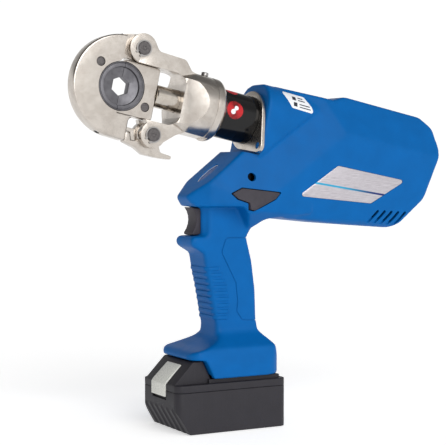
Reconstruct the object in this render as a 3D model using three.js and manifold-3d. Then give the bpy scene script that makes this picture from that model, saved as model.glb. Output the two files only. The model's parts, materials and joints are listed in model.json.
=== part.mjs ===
// A battery hydraulic crimping tool: pistol body on a slide-in battery, and a swivelling
// C-shaped head whose jaw flips open on a hinge and is held shut by a latch.
//
// Part frame, millimetres: +X rearward, +Z up, -Y the tool's left side. The origin is the
// centre of the battery's underside. The barrel frame is tilted back about Y: its X axis is the
// ram's axis, pointing rearward, and its origin is the front end of the black sleeve.
import * as THREE from "three";
import { mergeVertices } from "three/addons/utils/BufferGeometryUtils.js";
import Module from "manifold-3d";

// ---- Driving dimensions ----------------------------------------------------------------

const CLEARANCE = 0.3; // between pieces that touch or fit in one another

const barrel = { tilt: 12, height: 296.4 }; // degrees, and height of the ram's axis at X = 0

const housing = {
  wall: 3,
  barrelHalf: 40, // half-widths
  trunkHalf: 30,
  gripHalf: 18,
  footHalf: 37,
  footCorner: 16,
  screwRadius: 1.8,
  bossRadius: 5,
};

const battery = {
  length: 116,
  width: 75,
  corner: 8,
  wall: 2.5,
  tubTop: 38.3,
  rimTop: 45.4,
  noseSetback: 13, // how far the underside's front edge stands back
  noseRise: 22,
  humpHalf: 30,
  humpTop: 65.5,
  humpBack: -22,
  railHalf: 19,
  railNeck: 15,
  railTop: 58,
  cellRadius: 9,
  cellLength: 64,
  buttonHalf: 14,
  buttonTravel: 2,
};

const sleeve = { radius: 23, length: 35.2, wall: 1.7 };

const flange = { thickness: 4, radius: 28.5, earY: -29.8, earT: -25, earRadius: 6.8, holeRadius: 3.3 };

// The flanks: a flat panel behind the crease, and bands that slope inwards ahead of and below it.
const flank = {
  creaseLow: [64, -60.2], // in the barrel frame
  creaseHigh: [116.2, -4.7],
  bandSlope: 0.35,
  bandWidth: 34.5,
  underRear: [84, 199], // in the part frame
  underFront: [8, 205.5],
  underSlope: 1.15,
};

const arch = { half: 31, top: 36.6, corner: 24, rear: 106 }; // the hood over the cylinder

const cylinder = { spigotRadius: 16, spigotLength: 30, bore: 14.3, end: 84, glandThickness: 5 };

const ram = { rodRadius: 10.5, stroke: 15, pistonFront: 8, pistonLength: 12 };

const yoke = {
  collarRadius: 30,
  collarLength: 29,
  half: 11.5, // half the fork's thickness
  windowRear: -42,
  windowCorner: 7,
  runOut: 8.5, // space behind the carriage when the ram is fully back
  upperEar: 13.5,
  lowerEar: 12.2,
  armTop: 38.2,
  tongueHalf: 4.5,
};

const die = { radius: 22.4, half: 6.8, recessRadius: 17.5, recessDepth: 2.5, hexFlats: 16 };

const jaw = { half: 7, wall: 24.6, edge: 3, hingeAhead: 12.5, heelLength: 5 };

const carriage = { length: 35, margin: 1.8 };

const pin = { radius: 6.2, clipRadius: 8, clipThickness: 0.8 };

const latch = { pinAhead: 21, bossRadius: 10.5, toothRadius: 24 };

const button = { radius: 4, length: 5.5, travel: 2.5 };

const trigger = { front: -28, bottom: 180.6, top: 206.9, half: 9, travel: 6 };

const motor = { radius: 22, length: 65, drop: 8 };

const label = { thickness: 0.8 };

// ---- Shape helpers ---------------------------------------------------------------------

const wasm = await Module();
wasm.setup();
const { Manifold, Mesh } = wasm;

const COARSE = 12;
const MEDIUM = 20;
const FINE = 32;

// A closed geometry as a solid, whichever way its faces were wound.
function solid(geometry) {
  const bare = new THREE.BufferGeometry();
  bare.setAttribute("position", geometry.getAttribute("position"));
  if (geometry.index) bare.setIndex(geometry.index);
  const merged = mergeVertices(bare, 1e-4);
  const points = merged.getAttribute("position");
  const corner = new THREE.Vector3();
  const spots = [0, 1, 2].map(() => new THREE.Vector3());
  const faces = [];
  let volume = 0;
  for (let i = 0; i < merged.index.count; i += 3) {
    const face = [0, 1, 2].map((k) => merged.index.getX(i + k));
    if (new Set(face).size < 3) continue;
    face.forEach((vertex, k) => spots[k].fromBufferAttribute(points, vertex));
    volume += corner.copy(spots[0]).cross(spots[1]).dot(spots[2]);
    faces.push(face);
  }
  const triVerts = new Uint32Array(faces.flatMap(([a, b, c]) => (volume < 0 ? [a, c, b] : [a, b, c])));
  return new Manifold(new Mesh({ numProp: 3, vertProperties: points.array, triVerts }));
}

// The point a given distance from one corner towards another, just short of halfway at most.
function toward([x0, y0], [x1, y1], distance) {
  const from = new THREE.Vector2(x0, y0);
  const to = new THREE.Vector2(x1, y1);
  const length = from.distanceTo(to);
  return from.lerp(to, Math.min(distance / length, 0.45));
}

// A closed outline through corners [a, b, radius]. A corner with a radius is rounded.
function outline(corners) {
  const shape = new THREE.Shape();
  corners.forEach((corner, i) => {
    const [x, y, radius = 0] = corner;
    const enter = toward(corner, corners.at(i - 1), radius);
    const leave = toward(corner, corners[(i + 1) % corners.length], radius);
    if (i === 0) shape.moveTo(enter.x, enter.y);
    else shape.lineTo(enter.x, enter.y);
    if (radius > 0) shape.quadraticCurveTo(x, y, leave.x, leave.y);
  });
  shape.closePath();
  return shape;
}

// The corners of an anticlockwise outline, each side moved inward by the wall.
function inset(corners, wall) {
  const side = (from, to) => {
    const along = new THREE.Vector2(to[0] - from[0], to[1] - from[1]).normalize();
    const start = new THREE.Vector2(from[0] - along.y * wall, from[1] + along.x * wall);
    return { along, start };
  };
  return corners.map((corner, i) => {
    const before = side(corners.at(i - 1), corner);
    const after = side(corner, corners[(i + 1) % corners.length]);
    const bend = before.along.cross(after.along);
    const gap = after.start.clone().sub(before.start);
    const reach = gap.cross(after.along) / bend;
    const moved = before.start.clone().addScaledVector(before.along, reach);
    return [moved.x, moved.y, Math.max((corner[2] || 0) - wall, 0)];
  });
}

function extruded(shape, from, to, bevel) {
  const geometry = new THREE.ExtrudeGeometry(shape, {
    depth: to - from - 2 * bevel,
    curveSegments: 4,
    bevelEnabled: bevel > 0,
    bevelSize: bevel,
    bevelThickness: bevel,
    bevelOffset: -bevel,
    bevelSegments: 2,
  });
  return geometry.translate(0, 0, from + bevel);
}

// Plates: an outline in (X, Z), (Y, Z) or (X, Y), given its thickness along the third axis.
const plateY = (shape, from, to, bevel = 0) =>
  solid(extruded(shape, -to, -from, bevel).rotateX(Math.PI / 2));
const plateX = (shape, from, to, bevel = 0) =>
  solid(extruded(shape, from, to, bevel).applyMatrix4(YZ_TO_X));
const plateZ = (shape, from, to, bevel = 0) => solid(extruded(shape, from, to, bevel));
const YZ_TO_X = new THREE.Matrix4().makeBasis(
  new THREE.Vector3(0, 1, 0),
  new THREE.Vector3(0, 0, 1),
  new THREE.Vector3(1, 0, 0),
);

// A plate as thick on one side of the middle as on the other.
const slab = (corners, half, bevel = 0) => plateY(outline(corners), -half, half, bevel);

// A solid turned about X, Y or Z from a profile of [radius, place along the axis].
function turned(profile, axis, segments = MEDIUM) {
  const points = profile.map(([radius, place]) => new THREE.Vector2(radius, place));
  const geometry = new THREE.LatheGeometry(points, segments);
  if (axis === "x") geometry.rotateZ(-Math.PI / 2);
  if (axis === "z") geometry.rotateX(Math.PI / 2);
  return solid(geometry);
}

const rod = (axis, radius, from, to, segments = MEDIUM) =>
  turned([[0, from], [radius, from], [radius, to], [0, to]], axis, segments);

const tube = (axis, inner, outer, from, to, segments = MEDIUM) =>
  turned([[inner, from], [outer, from], [outer, to], [inner, to], [inner, from]], axis, segments);

function block([x0, y0, z0], [x1, y1, z1]) {
  const geometry = new THREE.BoxGeometry(x1 - x0, y1 - y0, z1 - z0);
  return solid(geometry.translate((x0 + x1) / 2, (y0 + y1) / 2, (z0 + z1) / 2));
}

const join = (...solids) => solids.reduce((all, one) => all.add(one));

const cut = (body, ...tools) => tools.reduce((rest, tool) => rest.subtract(tool), body);

const turn = (body, degrees) => body.rotate([0, degrees, 0]);

const polar = (radius, angle) => new THREE.Vector2(radius * Math.cos(angle), radius * Math.sin(angle));

// A coil spring along X, starting at X = 0.
function spring(radius, wire, turns, length) {
  class Coil extends THREE.Curve {
    getPoint(t) {
      const angle = 2 * Math.PI * turns * t;
      const along = wire + (length - 2 * wire) * t;
      return new THREE.Vector3(along, radius * Math.cos(angle), radius * Math.sin(angle));
    }
  }
  const section = new THREE.Shape([0, 1, 2, 3, 4].map((k) => polar(wire, (2 * Math.PI * k) / 5)));
  const geometry = new THREE.ExtrudeGeometry(section, {
    steps: turns * 9,
    extrudePath: new Coil(),
  });
  return solid(geometry);
}

// From the barrel frame to the part frame.
const tilt = THREE.MathUtils.degToRad(barrel.tilt);
const intoPart = (body) => body.rotate([0, barrel.tilt, 0]).translate([0, 0, barrel.height]);

// ---- Finishes --------------------------------------------------------------------------

const finish = (color, roughness, metalness) =>
  new THREE.MeshStandardMaterial({ color, roughness, metalness });
const BLUE = finish(0x0063b0, 0.38, 0);
const CHARCOAL = finish(0x3a383d, 0.6, 0);
const DARK = finish(0x4a4548, 0.6, 0);
const PALE = finish(0xc8c8c0, 0.6, 0);
const NICKEL = finish(0xb9b2aa, 0.28, 1);
const STEEL = finish(0x8c8a88, 0.35, 1);
const DIE = finish(0x6b6b6e, 0.4, 1);
const GLOSS_BLACK = finish(0x101012, 0.15, 0.2);
const BLACK = finish(0x151517, 0.5, 0);
const COPPER = finish(0xb87a4a, 0.35, 1);
const GREEN = finish(0x1f5a36, 0.5, 0);

const tool = new THREE.Group();
const barrelGroup = new THREE.Group();
barrelGroup.rotation.y = tilt;
barrelGroup.position.z = barrel.height;
tool.add(barrelGroup);

// Adds a solid to a group as a named mesh.
function place(group, name, body, material) {
  const { vertProperties, triVerts, numProp } = body.getMesh();
  const positions = new Float32Array((vertProperties.length / numProp) * 3);
  for (let i = 0; i < positions.length / 3; i += 1) {
    positions.set(vertProperties.subarray(i * numProp, i * numProp + 3), i * 3);
  }
  const geometry = new THREE.BufferGeometry();
  geometry.setAttribute("position", new THREE.BufferAttribute(positions, 3));
  geometry.setIndex(new THREE.BufferAttribute(triVerts, 1));
  geometry.computeVertexNormals();
  const mesh = new THREE.Mesh(geometry, material);
  mesh.name = name;
  group.add(mesh);
}

// ---- Places worked out from the dimensions, in the barrel frame -------------------------

const carriageRear = yoke.windowRear - ram.stroke - yoke.runOut;
const dieCentre = carriageRear - carriage.length;
const carriageHalf = die.radius + carriage.margin;
const windowHalf = carriageHalf + CLEARANCE;
const hinge = { s: dieCentre + jaw.hingeAhead, t: windowHalf + yoke.upperEar };
const pivot = { s: yoke.windowRear - latch.pinAhead, t: -windowHalf - yoke.lowerEar };
const jawRadius = die.radius + jaw.wall;
const footFloor = battery.rimTop + 3.8;
// The slanting step in the foot's underside that the battery's hump stands behind.
const FOOT_FRONT = [
  [battery.humpBack - 5, battery.humpTop + 1.2],
  [battery.humpBack + 3, footFloor],
];
const flangeFront = sleeve.length + CLEARANCE;
const housingFront = flangeFront + flange.thickness + CLEARANCE;

// ---- Head: yoke, jaw, latch and ram ----------------------------------------------------

// The fork with its collar. Its bore turns on the cylinder's spigot.
function makeYoke() {
  const { half, windowRear, collarRadius, collarLength } = yoke;
  const lowerArm = pivot.t - yoke.lowerEar;
  const fork = slab(
    [
      [windowRear + 13, -collarRadius + 4, 4],
      [windowRear + 13, collarRadius - 2, 4],
      [windowRear + 6, yoke.armTop - 9, 4],
      [windowRear - 2, yoke.armTop, 5],
      [hinge.s + 16, yoke.armTop + 0.8, 5],
      [hinge.s + 11.5, hinge.t + 7],
      [hinge.s, hinge.t],
      [hinge.s - 3, windowHalf],
      [windowRear, windowHalf, yoke.windowCorner],
      [windowRear, -windowHalf, yoke.windowCorner],
      [pivot.s, -windowHalf],
      [pivot.s - 4, pivot.t],
      [pivot.s + 2, lowerArm + 1],
      [pivot.s + 8, pivot.t - 7.5, 4],
      [windowRear + 1, pivot.t + 4.5, 4],
    ],
    half,
  );
  const ears = join(
    rod("y", yoke.upperEar, -half, half, FINE).translate([hinge.s, 0, hinge.t]),
    rod("y", yoke.lowerEar, -half, half, FINE).translate([pivot.s, 0, pivot.t]),
  );
  const neckLength = collarLength + 15;
  const turnedNeck = turned(
    [
      [0, -neckLength],
      [collarRadius - 7, -neckLength],
      [collarRadius, -collarLength - 4],
      [collarRadius, -6],
      [collarRadius - 2, -2.5],
      [collarRadius - 6, -CLEARANCE],
      [0, -CLEARANCE],
    ],
    "x",
    FINE,
  );
  const neckPlan = outline([
    [-neckLength + 2, -half - 4],
    [-20, -collarRadius - 1],
    [1, -collarRadius - 1],
    [1, collarRadius + 1],
    [-20, collarRadius + 1],
    [-neckLength + 2, half + 4],
  ]);
  const neck = turnedNeck.intersect(plateZ(neckPlan, -50, 50));
  const slotHalf = yoke.tongueHalf + CLEARANCE;
  const upperSlotEnd = hinge.s + yoke.upperEar + 0.4;
  const lowerSlotEnd = pivot.s + yoke.lowerEar + 0.6;
  return cut(
    join(fork, ears, neck),
    block([hinge.s - 30, -slotHalf, windowHalf - 5], [upperSlotEnd, slotHalf, hinge.t + 30]),
    block([pivot.s - 30, -slotHalf, pivot.t - 30], [lowerSlotEnd, slotHalf, -windowHalf + 5]),
    block([-110, -40, -windowHalf], [windowRear - 4, 40, windowHalf]),
    rod("x", cylinder.spigotRadius + CLEARANCE, -cylinder.spigotLength - CLEARANCE, 1, FINE),
    rod("x", ram.rodRadius + CLEARANCE, -60, 1, MEDIUM),
    rod("y", pin.radius + CLEARANCE, -20, 20).translate([hinge.s, 0, hinge.t]),
    rod("y", pin.radius + CLEARANCE, -20, 20).translate([pivot.s, 0, pivot.t]),
    rod("z", 2.5 + CLEARANCE, cylinder.spigotRadius - 1, 40, COARSE).translate([-17, 0, 0]),
  );
}

// The screw on top of the collar that keeps the yoke on the cylinder.
function makeSwivelScrew() {
  const shank = rod("z", 2.5, cylinder.spigotRadius + 1, yoke.collarRadius + 1, COARSE);
  const head = rod("z", 3.4, yoke.collarRadius + CLEARANCE, yoke.collarRadius + 3.6, COARSE);
  return join(shank, head).translate([-17, 0, 0]);
}

// A hinge pin across the fork, with a groove for a retaining ring near each end.
function makePin(spot) {
  const groove = yoke.half + CLEARANCE;
  const grooveEnd = groove + pin.clipThickness + 0.2;
  const end = grooveEnd + 0.7;
  const profile = [
    [0, -end],
    [pin.radius - 0.5, -end],
    [pin.radius, -end + 0.5],
    [pin.radius, -grooveEnd],
    [pin.radius - 0.9, -grooveEnd],
    [pin.radius - 0.9, -groove],
    [pin.radius, -groove],
  ];
  const mirrored = profile.map(([radius, place]) => [radius, -place]).reverse();
  return turned([...profile, ...mirrored], "y").translate([spot.s, 0, spot.t]);
}

// A retaining ring, open over an arc at its underside.
function makeClip(spot, side) {
  const from = yoke.half + CLEARANCE + 0.1;
  const ring = tube("y", pin.radius - 0.6, pin.clipRadius, from, from + pin.clipThickness);
  const mouth = block([-2, from - 1, -pin.clipRadius - 1], [2, from + 2, 0]);
  const clip = turn(cut(ring, mouth), 35);
  return (side < 0 ? clip.mirror([0, 1, 0]) : clip).translate([spot.s, 0, spot.t]);
}

// The torsion spring's coil, round the latch pin's end between ear and latch, as one sleeve.
function makeLatchSpring() {
  const wire = 0.9;
  const coil = spring(latch.bossRadius - 2.2, wire, 3, 6);
  return coil.rotate([0, 0, 90]).translate([pivot.s, -3, pivot.t]);
}

const halfPlane = (from, to) => slab([[from, -80], [to, -80], [to, 80], [from, 80]], 40);

// The C-shaped jaw: thick round the die, with a tongue at the hinge and a heel at the latch.
function makeJaw() {
  const { half, edge } = jaw;
  const bore = die.radius + CLEARANCE;
  const splitFront = dieCentre - CLEARANCE / 2;
  const stepFront = hinge.s - yoke.upperEar - 2.6;
  const endRear = pivot.s - latch.toothRadius - 0.5;
  const bottom = -jawRadius - 0.4;
  const armTop = -carriageHalf - 1;
  const centre = dieCentre - 0.5;
  const outer = new THREE.Shape();
  outer.moveTo(splitFront, 0);
  outer.lineTo(splitFront, windowHalf + 1.5);
  outer.lineTo(stepFront, windowHalf + 4);
  outer.lineTo(stepFront, jawRadius - 0.3);
  outer.absarc(centre, 0, jawRadius, Math.PI * 0.53, Math.PI * 1.46, false);
  outer.lineTo(endRear - 4, bottom);
  outer.quadraticCurveTo(endRear, bottom, endRear, bottom + 4);
  outer.lineTo(endRear, armTop - 3);
  outer.lineTo(dieCentre + 2, armTop);
  outer.lineTo(splitFront, armTop);
  outer.closePath();
  const disc = turned(
    [
      [0, -half],
      [jawRadius - edge, -half],
      [jawRadius, -half + edge],
      [jawRadius, half - edge],
      [jawRadius - edge, half],
      [0, half],
    ],
    "y",
    2 * FINE,
  ).translate([centre, 0, 0]);
  const body = cut(plateFine(outer, half), cut(halfPlane(-300, centre), disc));
  const tongue = join(
    slab(
      [
        [stepFront - 4, windowHalf + 4],
        [dieCentre + 1, windowHalf + 2.2],
        [hinge.s, hinge.t - yoke.upperEar + 1],
        [hinge.s, hinge.t + yoke.upperEar - 1],
        [stepFront - 4, jawRadius + 0.2],
      ],
      yoke.tongueHalf,
    ),
    rod("y", yoke.upperEar - 0.8, -yoke.tongueHalf, yoke.tongueHalf, FINE).translate([hinge.s, 0, hinge.t]),
  );
  return cut(
    join(body, tongue, makeHeel()),
    rod("y", bore, -40, 40, FINE).translate([dieCentre, 0, 0]),
    rod("y", pin.radius + CLEARANCE, -20, 20).translate([hinge.s, 0, hinge.t]),
    buttonHole(jawButton),
    setScrewTurned(rod("x", 2.5 + CLEARANCE, -60, -jawRadius + 8, COARSE)),
  );
}

// A plate whose arcs have twice as many sides as a turned piece's.
function plateFine(shape, half) {
  const settings = { depth: 2 * half, curveSegments: FINE, bevelEnabled: false };
  const geometry = new THREE.ExtrudeGeometry(shape, settings);
  return solid(geometry.translate(0, 0, -half).rotateX(Math.PI / 2));
}

// The heel behind the jaw's lower end. Its front face is an arc about the latch pivot.
function makeHeel() {
  const front = latch.toothRadius - 4.3;
  const top = -carriageHalf - 10.5;
  const floor = -carriageHalf - 21;
  const drop = (t) => t - pivot.t;
  const arcAt = (t) => pivot.s - Math.sqrt(front ** 2 - drop(t) ** 2);
  const neckTop = top - 0.5;
  return slab(
    [
      [pivot.s - latch.toothRadius - 6, top],
      [arcAt(top) + jaw.heelLength, top, 2],
      [arcAt(floor) + jaw.heelLength - 1, floor, 1],
      [arcAt(floor), floor],
      [arcAt(floor + 4), floor + 4],
      [arcAt(floor + 7), floor + 7],
      [pivot.s - latch.toothRadius - 6, neckTop - 2.6],
    ].reverse(),
    yoke.tongueHalf,
  );
}

// The latch lever: boss, hook under the heel with its tooth in front, and thumb tail.
function makeLatch() {
  const heelFloor = -carriageHalf - 21;
  const back = latch.toothRadius - 3.8;
  const arcAt = (t) => pivot.s - Math.sqrt(back ** 2 - (t - pivot.t) ** 2);
  const tip = pivot.s - latch.toothRadius;
  const toothTop = heelFloor + 5.6;
  const body = join(
    slab(
      [
        [tip, toothTop],
        [tip, heelFloor - 3, 1.5],
        [tip + 13, heelFloor - 6, 3],
        [pivot.s - 2, heelFloor - 10.3, 4],
        [pivot.s + 12, heelFloor - 10.3],
        [pivot.s + 25, heelFloor - 9.2, 1.4],
        [pivot.s + 25.5, heelFloor - 6, 1.4],
        [pivot.s + 13.5, heelFloor - 5, 3],
        [pivot.s + 9, pivot.t - 4],
        [pivot.s - 8, pivot.t - 5],
        [pivot.s - 13.2, heelFloor + 0.1],
        [pivot.s - 14, heelFloor - 0.5],
        [arcAt(heelFloor - 0.5), heelFloor - 0.5],
        [arcAt(heelFloor + 3), heelFloor + 3],
        [arcAt(toothTop), toothTop],
      ],
      yoke.tongueHalf,
    ),
    rod("y", latch.bossRadius, -yoke.tongueHalf, yoke.tongueHalf).translate([pivot.s, 0, pivot.t]),
  );
  const well = tube("y", pin.radius, latch.bossRadius - 1, -3.3, 3.6).translate([pivot.s, 0, pivot.t]);
  return cut(body, rod("y", pin.radius + CLEARANCE, -20, 20).translate([pivot.s, 0, pivot.t]), well);
}

// The moving die holder on the end of the ram.
function makeCarriage() {
  const front = dieCentre + CLEARANCE / 2;
  const body = slab(
    [
      [front, -carriageHalf],
      [carriageRear, -carriageHalf, 2],
      [carriageRear, carriageHalf, 2],
      [front, carriageHalf],
    ],
    jaw.half,
    0.6,
  );
  return cut(
    body,
    rod("y", die.radius + CLEARANCE, -40, 40, FINE).translate([dieCentre, 0, 0]),
    rod("x", 5 + CLEARANCE, carriageRear - 7 - CLEARANCE, carriageRear + 1, COARSE),
    buttonHole(ramButton),
  );
}

// A half-shell die, before it is cut at the split: recessed faces round a hexagon.
function makeDie() {
  const facing = tube("y", die.recessRadius, die.radius, -die.half, die.half, FINE);
  const webHalf = die.half - die.recessDepth;
  const web = rod("y", die.recessRadius + 0.5, -webHalf, webHalf, FINE);
  const hexagon = rod("y", die.hexFlats / Math.sqrt(3), -20, 20, 6);
  return cut(join(facing, web), hexagon).translate([dieCentre, 0, 0]);
}

// The ram: rod, spigot into the carriage, and piston.
function makeRam() {
  const { rodRadius, pistonFront, pistonLength } = ram;
  const front = carriageRear + CLEARANCE;
  const piston = cylinder.bore - CLEARANCE;
  return turned(
    [
      [0, front - 7],
      [5, front - 7],
      [5, front],
      [rodRadius, front],
      [rodRadius, pistonFront],
      [piston, pistonFront],
      [piston, pistonFront + 4],
      [piston - 1.2, pistonFront + 4],
      [piston - 1.2, pistonFront + 8],
      [piston, pistonFront + 8],
      [piston, pistonFront + pistonLength],
      [0, pistonFront + pistonLength],
    ],
    "x",
    FINE,
  );
}

const setScrewAngle = -74;
const jawButton = { s: dieCentre - die.radius - 1.9, t: 17 };
const ramButton = { s: dieCentre + die.radius + 3.9, t: -13.5 };

// The blind hole that a die-release button slides in, open on the left face.
const buttonFloor = -jaw.half + button.length + button.travel + 1;
const buttonHole = ({ s, t }) =>
  rod("y", button.radius + CLEARANCE, -20, buttonFloor, COARSE).translate([s, 0, t]);

const makeButton = ({ s, t }) =>
  turned(
    [
      [0, -jaw.half],
      [button.radius - 0.4, -jaw.half],
      [button.radius, -jaw.half + 0.4],
      [button.radius, -jaw.half + button.length],
      [0, -jaw.half + button.length],
    ],
    "y",
  ).translate([s, 0, t]);

const setScrewTurned = (body) => turn(body, setScrewAngle).translate([dieCentre, 0, 0]);

function makeJawSetScrew() {
  const body = rod("x", 2.5, -jawRadius - 0.4, -jawRadius + 6, COARSE);
  const socket = rod("x", 1.3, -jawRadius - 2, -jawRadius + 2, 6);
  return setScrewTurned(cut(body, socket));
}

// ---- Hydraulics and drive, in the barrel frame ------------------------------------------

const cylinderRadius = sleeve.radius - sleeve.wall - CLEARANCE;

function makeCylinder() {
  const { spigotRadius, spigotLength, bore, end, glandThickness } = cylinder;
  const front = -spigotLength;
  const gland = ram.rodRadius + CLEARANCE;
  return turned(
    [
      [gland, front],
      [spigotRadius, front],
      [spigotRadius, CLEARANCE],
      [cylinderRadius, CLEARANCE],
      [cylinderRadius, end],
      [0, end],
      [0, end - 12],
      [bore, end - 12],
      [bore, front + glandThickness],
      [gland, front + glandThickness],
      [gland, front],
    ],
    "x",
    FINE,
  );
}

// A round outline with one ear, whose sides run out along tangents.
const flangeOutline = () => {
  const { radius, earY, earT, earRadius } = flange;
  const toEar = Math.atan2(earT, earY);
  const spread = Math.acos((radius - earRadius) / Math.hypot(earY, earT));
  const shape = new THREE.Shape();
  shape.absarc(0, 0, radius, toEar + spread, toEar - spread + 2 * Math.PI, false);
  shape.absarc(earY, earT, earRadius, toEar - spread, toEar + spread, false);
  shape.closePath();
  return shape;
};

function makeFlange() {
  const { thickness, earY, earT, holeRadius } = flange;
  const plate = plateX(flangeOutline(), flangeFront, flangeFront + thickness, 0.6);
  const hole = rod("x", holeRadius, 0, 80, MEDIUM).translate([0, earY, earT]);
  return cut(plate, rod("x", cylinderRadius + CLEARANCE, 0, 80, FINE), hole);
}

const pumpFront = cylinder.end + CLEARANCE;
const pumpLength = 32;
const gearboxFront = pumpFront + pumpLength + CLEARANCE;
const gearboxLength = 24;
const motorFront = gearboxFront + gearboxLength + CLEARANCE;

function makePumpBlock() {
  const body = block([pumpFront, -23, -34], [pumpFront + pumpLength, 23, 17]);
  const plungerBore = rod("x", 9, pumpFront + 16, pumpFront + pumpLength + 1).translate([0, 0, -motor.drop]);
  const valveBore = rod("z", 6 + CLEARANCE, 4, 30, COARSE).translate([pumpFront + 8, 14, 0]);
  const camBore = rod("x", 3.3, pumpFront + 6, pumpFront + 20, COARSE).translate([0, 0, -motor.drop]);
  return cut(body, plungerBore, valveBore, camBore);
}

// The eccentric shaft that drives the pump's plunger.
function makePumpShaft() {
  const shaft = rod("x", 3, pumpFront + 8, pumpFront + pumpLength - 1, COARSE);
  const cam = rod("x", 6, pumpFront + 18, pumpFront + 27, COARSE).translate([0, 0, 1.5]);
  return join(shaft, cam).translate([0, 0, -motor.drop]);
}

function makeReliefValve() {
  const body = rod("z", 6, 5, 24, COARSE);
  const nut = rod("z", 7.5, 18 + CLEARANCE, 23, 6);
  return join(body, nut).translate([pumpFront + 8, 14, 0]);
}

function makeReservoir() {
  const corners = [
    [46, -30, 6],
    [pumpFront + pumpLength, -38, 6],
    [pumpFront + pumpLength, -64, 10],
    [74, -66, 10],
  ].reverse();
  return slab(corners, 26);
}

function makeMotor() {
  const { radius, length } = motor;
  const rear = motorFront + length;
  return turned(
    [
      [0, motorFront],
      [radius, motorFront],
      [radius, rear - 4],
      [radius - 2, rear - 4],
      [radius - 2, rear],
      [0, rear],
    ],
    "x",
    FINE,
  ).translate([0, 0, -motor.drop]);
}

function makeMotorCap() {
  const { radius, length } = motor;
  const front = motorFront + length + CLEARANCE;
  const cap = turned(
    [[0, front], [radius, front], [radius, front + 5], [8, front + 9], [8, front + 13], [0, front + 13]],
    "x",
  );
  return cap.translate([0, 0, -motor.drop]);
}

const makeGearbox = () =>
  rod("x", motor.radius - 2, gearboxFront, gearboxFront + gearboxLength, MEDIUM).translate([0, 0, -motor.drop]);

// ---- Housing ---------------------------------------------------------------------------

// Side outlines, anticlockwise. The barrel's is in its own frame, the others in the part frame.
const barrelSide = [
  [housingFront, -36],
  [70, -87.4, 14],
  [137, -80.3],
  [200, -72, 16],
  [229, -37, 20],
  [241, 14, 16],
  [234, 36, 8],
  [218, 44.2, 10],
  [126, 43.4, 6],
  [112, 36.8, 6],
  [52, 36.6, 6],
  [housingFront, 28, 4],
];
const trunkSide = [
  [-36, 216.5, 3],
  [-27.5, 207.3, 1],
  [14, 207.3],
  [17, 201],
  [30, 177],
  [48, 194, 10],
  [84, 200],
  [84, 262],
  [37, 276],
  [30, 258],
  [20, 260.5],
  [-5, 240.5],
];
const gripSide = [
  [-15.7, 215],
  [-15.7, trigger.bottom - CLEARANCE],
  [-31, trigger.bottom - CLEARANCE, 1],
  [-34, 174.5, 1],
  [-31, 170.3, 2],
  [-19.5, 163.5, 6],
  [-16.7, 147],
  [-13, 131],
  [-9.4, 111],
  [-6.5, 96, 4],
  [-8, 82],
  [44, 82],
  [38.5, 91, 4],
  [36.2, 102],
  [35.5, 128],
  [31.7, 156],
  [26, 178],
  [36, 195],
  [36, 215],
];
const footSide = [
  [-42, FOOT_FRONT[0][1], 2],
  FOOT_FRONT[0],
  FOOT_FRONT[1],
  [54, footFloor, 2],
  [53, 66, 6],
  [47, 77, 6],
  [37, 92],
  [-4, 92],
  [-9.5, 86, 4],
  [-36, 79.7, 5],
  [-42, 73.5, 3],
];

// Half-width of the foot's section at its floor, shoulder and top, for a given inset.
const footSection = (wall) =>
  outline([
    [-housing.footHalf + wall, footFloor - 1],
    [housing.footHalf - wall, footFloor - 1],
    [housing.footHalf - wall, 63, 6],
    [housing.gripHalf + 6 - wall, 92 - wall],
    [-housing.gripHalf - 6 + wall, 92 - wall],
    [-housing.footHalf + wall, 63, 6],
  ]);

const barrelSection = (wall) => {
  const half = housing.barrelHalf - wall;
  return outline([
    [-half + 8, -100],
    [half - 8, -100],
    [half, -62, 8],
    [half, 6, 14],
    [half - 20, 50 - wall, 10],
    [-half + 20, 50 - wall, 10],
    [-half, 6, 14],
    [-half, -62, 8],
  ]);
};

// What a flank loses where it slopes inwards to the left of the line from low to high.
function flankWedge(side, low, high, slope, lift) {
  const [from, to] = [low, high].map((point) => new THREE.Vector2(...point));
  const along = to.clone().sub(from).normalize();
  const ahead = new THREE.Vector2(-along.y, along.x);
  const reach = 100;
  const corners = [from.addScaledVector(along, -170), to.addScaledVector(along, 170)].flatMap((end) =>
    [0, reach].flatMap((far) => {
      const { x, y: z } = end.clone().addScaledVector(ahead, far);
      const face = housing.barrelHalf + lift - slope * far;
      return [[x, side * face, z], [x, side * 90, z]];
    }),
  );
  return Manifold.hull(corners);
}

const bandWedge = (side, lift) =>
  intoPart(flankWedge(side, flank.creaseLow, flank.creaseHigh, flank.bandSlope, lift));
const underWedge = (side, lift) =>
  flankWedge(side, flank.underRear, flank.underFront, flank.underSlope, lift);

// The hood over the cylinder ends along a line parallel to the crease, a band's width ahead of it.
function archForm(wall) {
  const half = arch.half - wall;
  const top = arch.top - wall;
  const section = outline([
    [-half, -60 + wall],
    [half, -60 + wall],
    [half, top, arch.corner],
    [-half, top, arch.corner],
  ]);
  const low = new THREE.Vector2(...flank.creaseLow);
  const along = new THREE.Vector2(...flank.creaseHigh).sub(low).normalize();
  const ahead = new THREE.Vector2(-along.y, along.x);
  const corner = (run, step) =>
    low.clone().addScaledVector(along, run).addScaledVector(ahead, flank.bandWidth + wall + step).toArray();
  const room = slab([corner(-60, 0), corner(160, 0), corner(160, 90), corner(-60, 90)], 60);
  return intoPart(plateX(section, housingFront + wall, arch.rear - wall).intersect(room));
}

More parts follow.
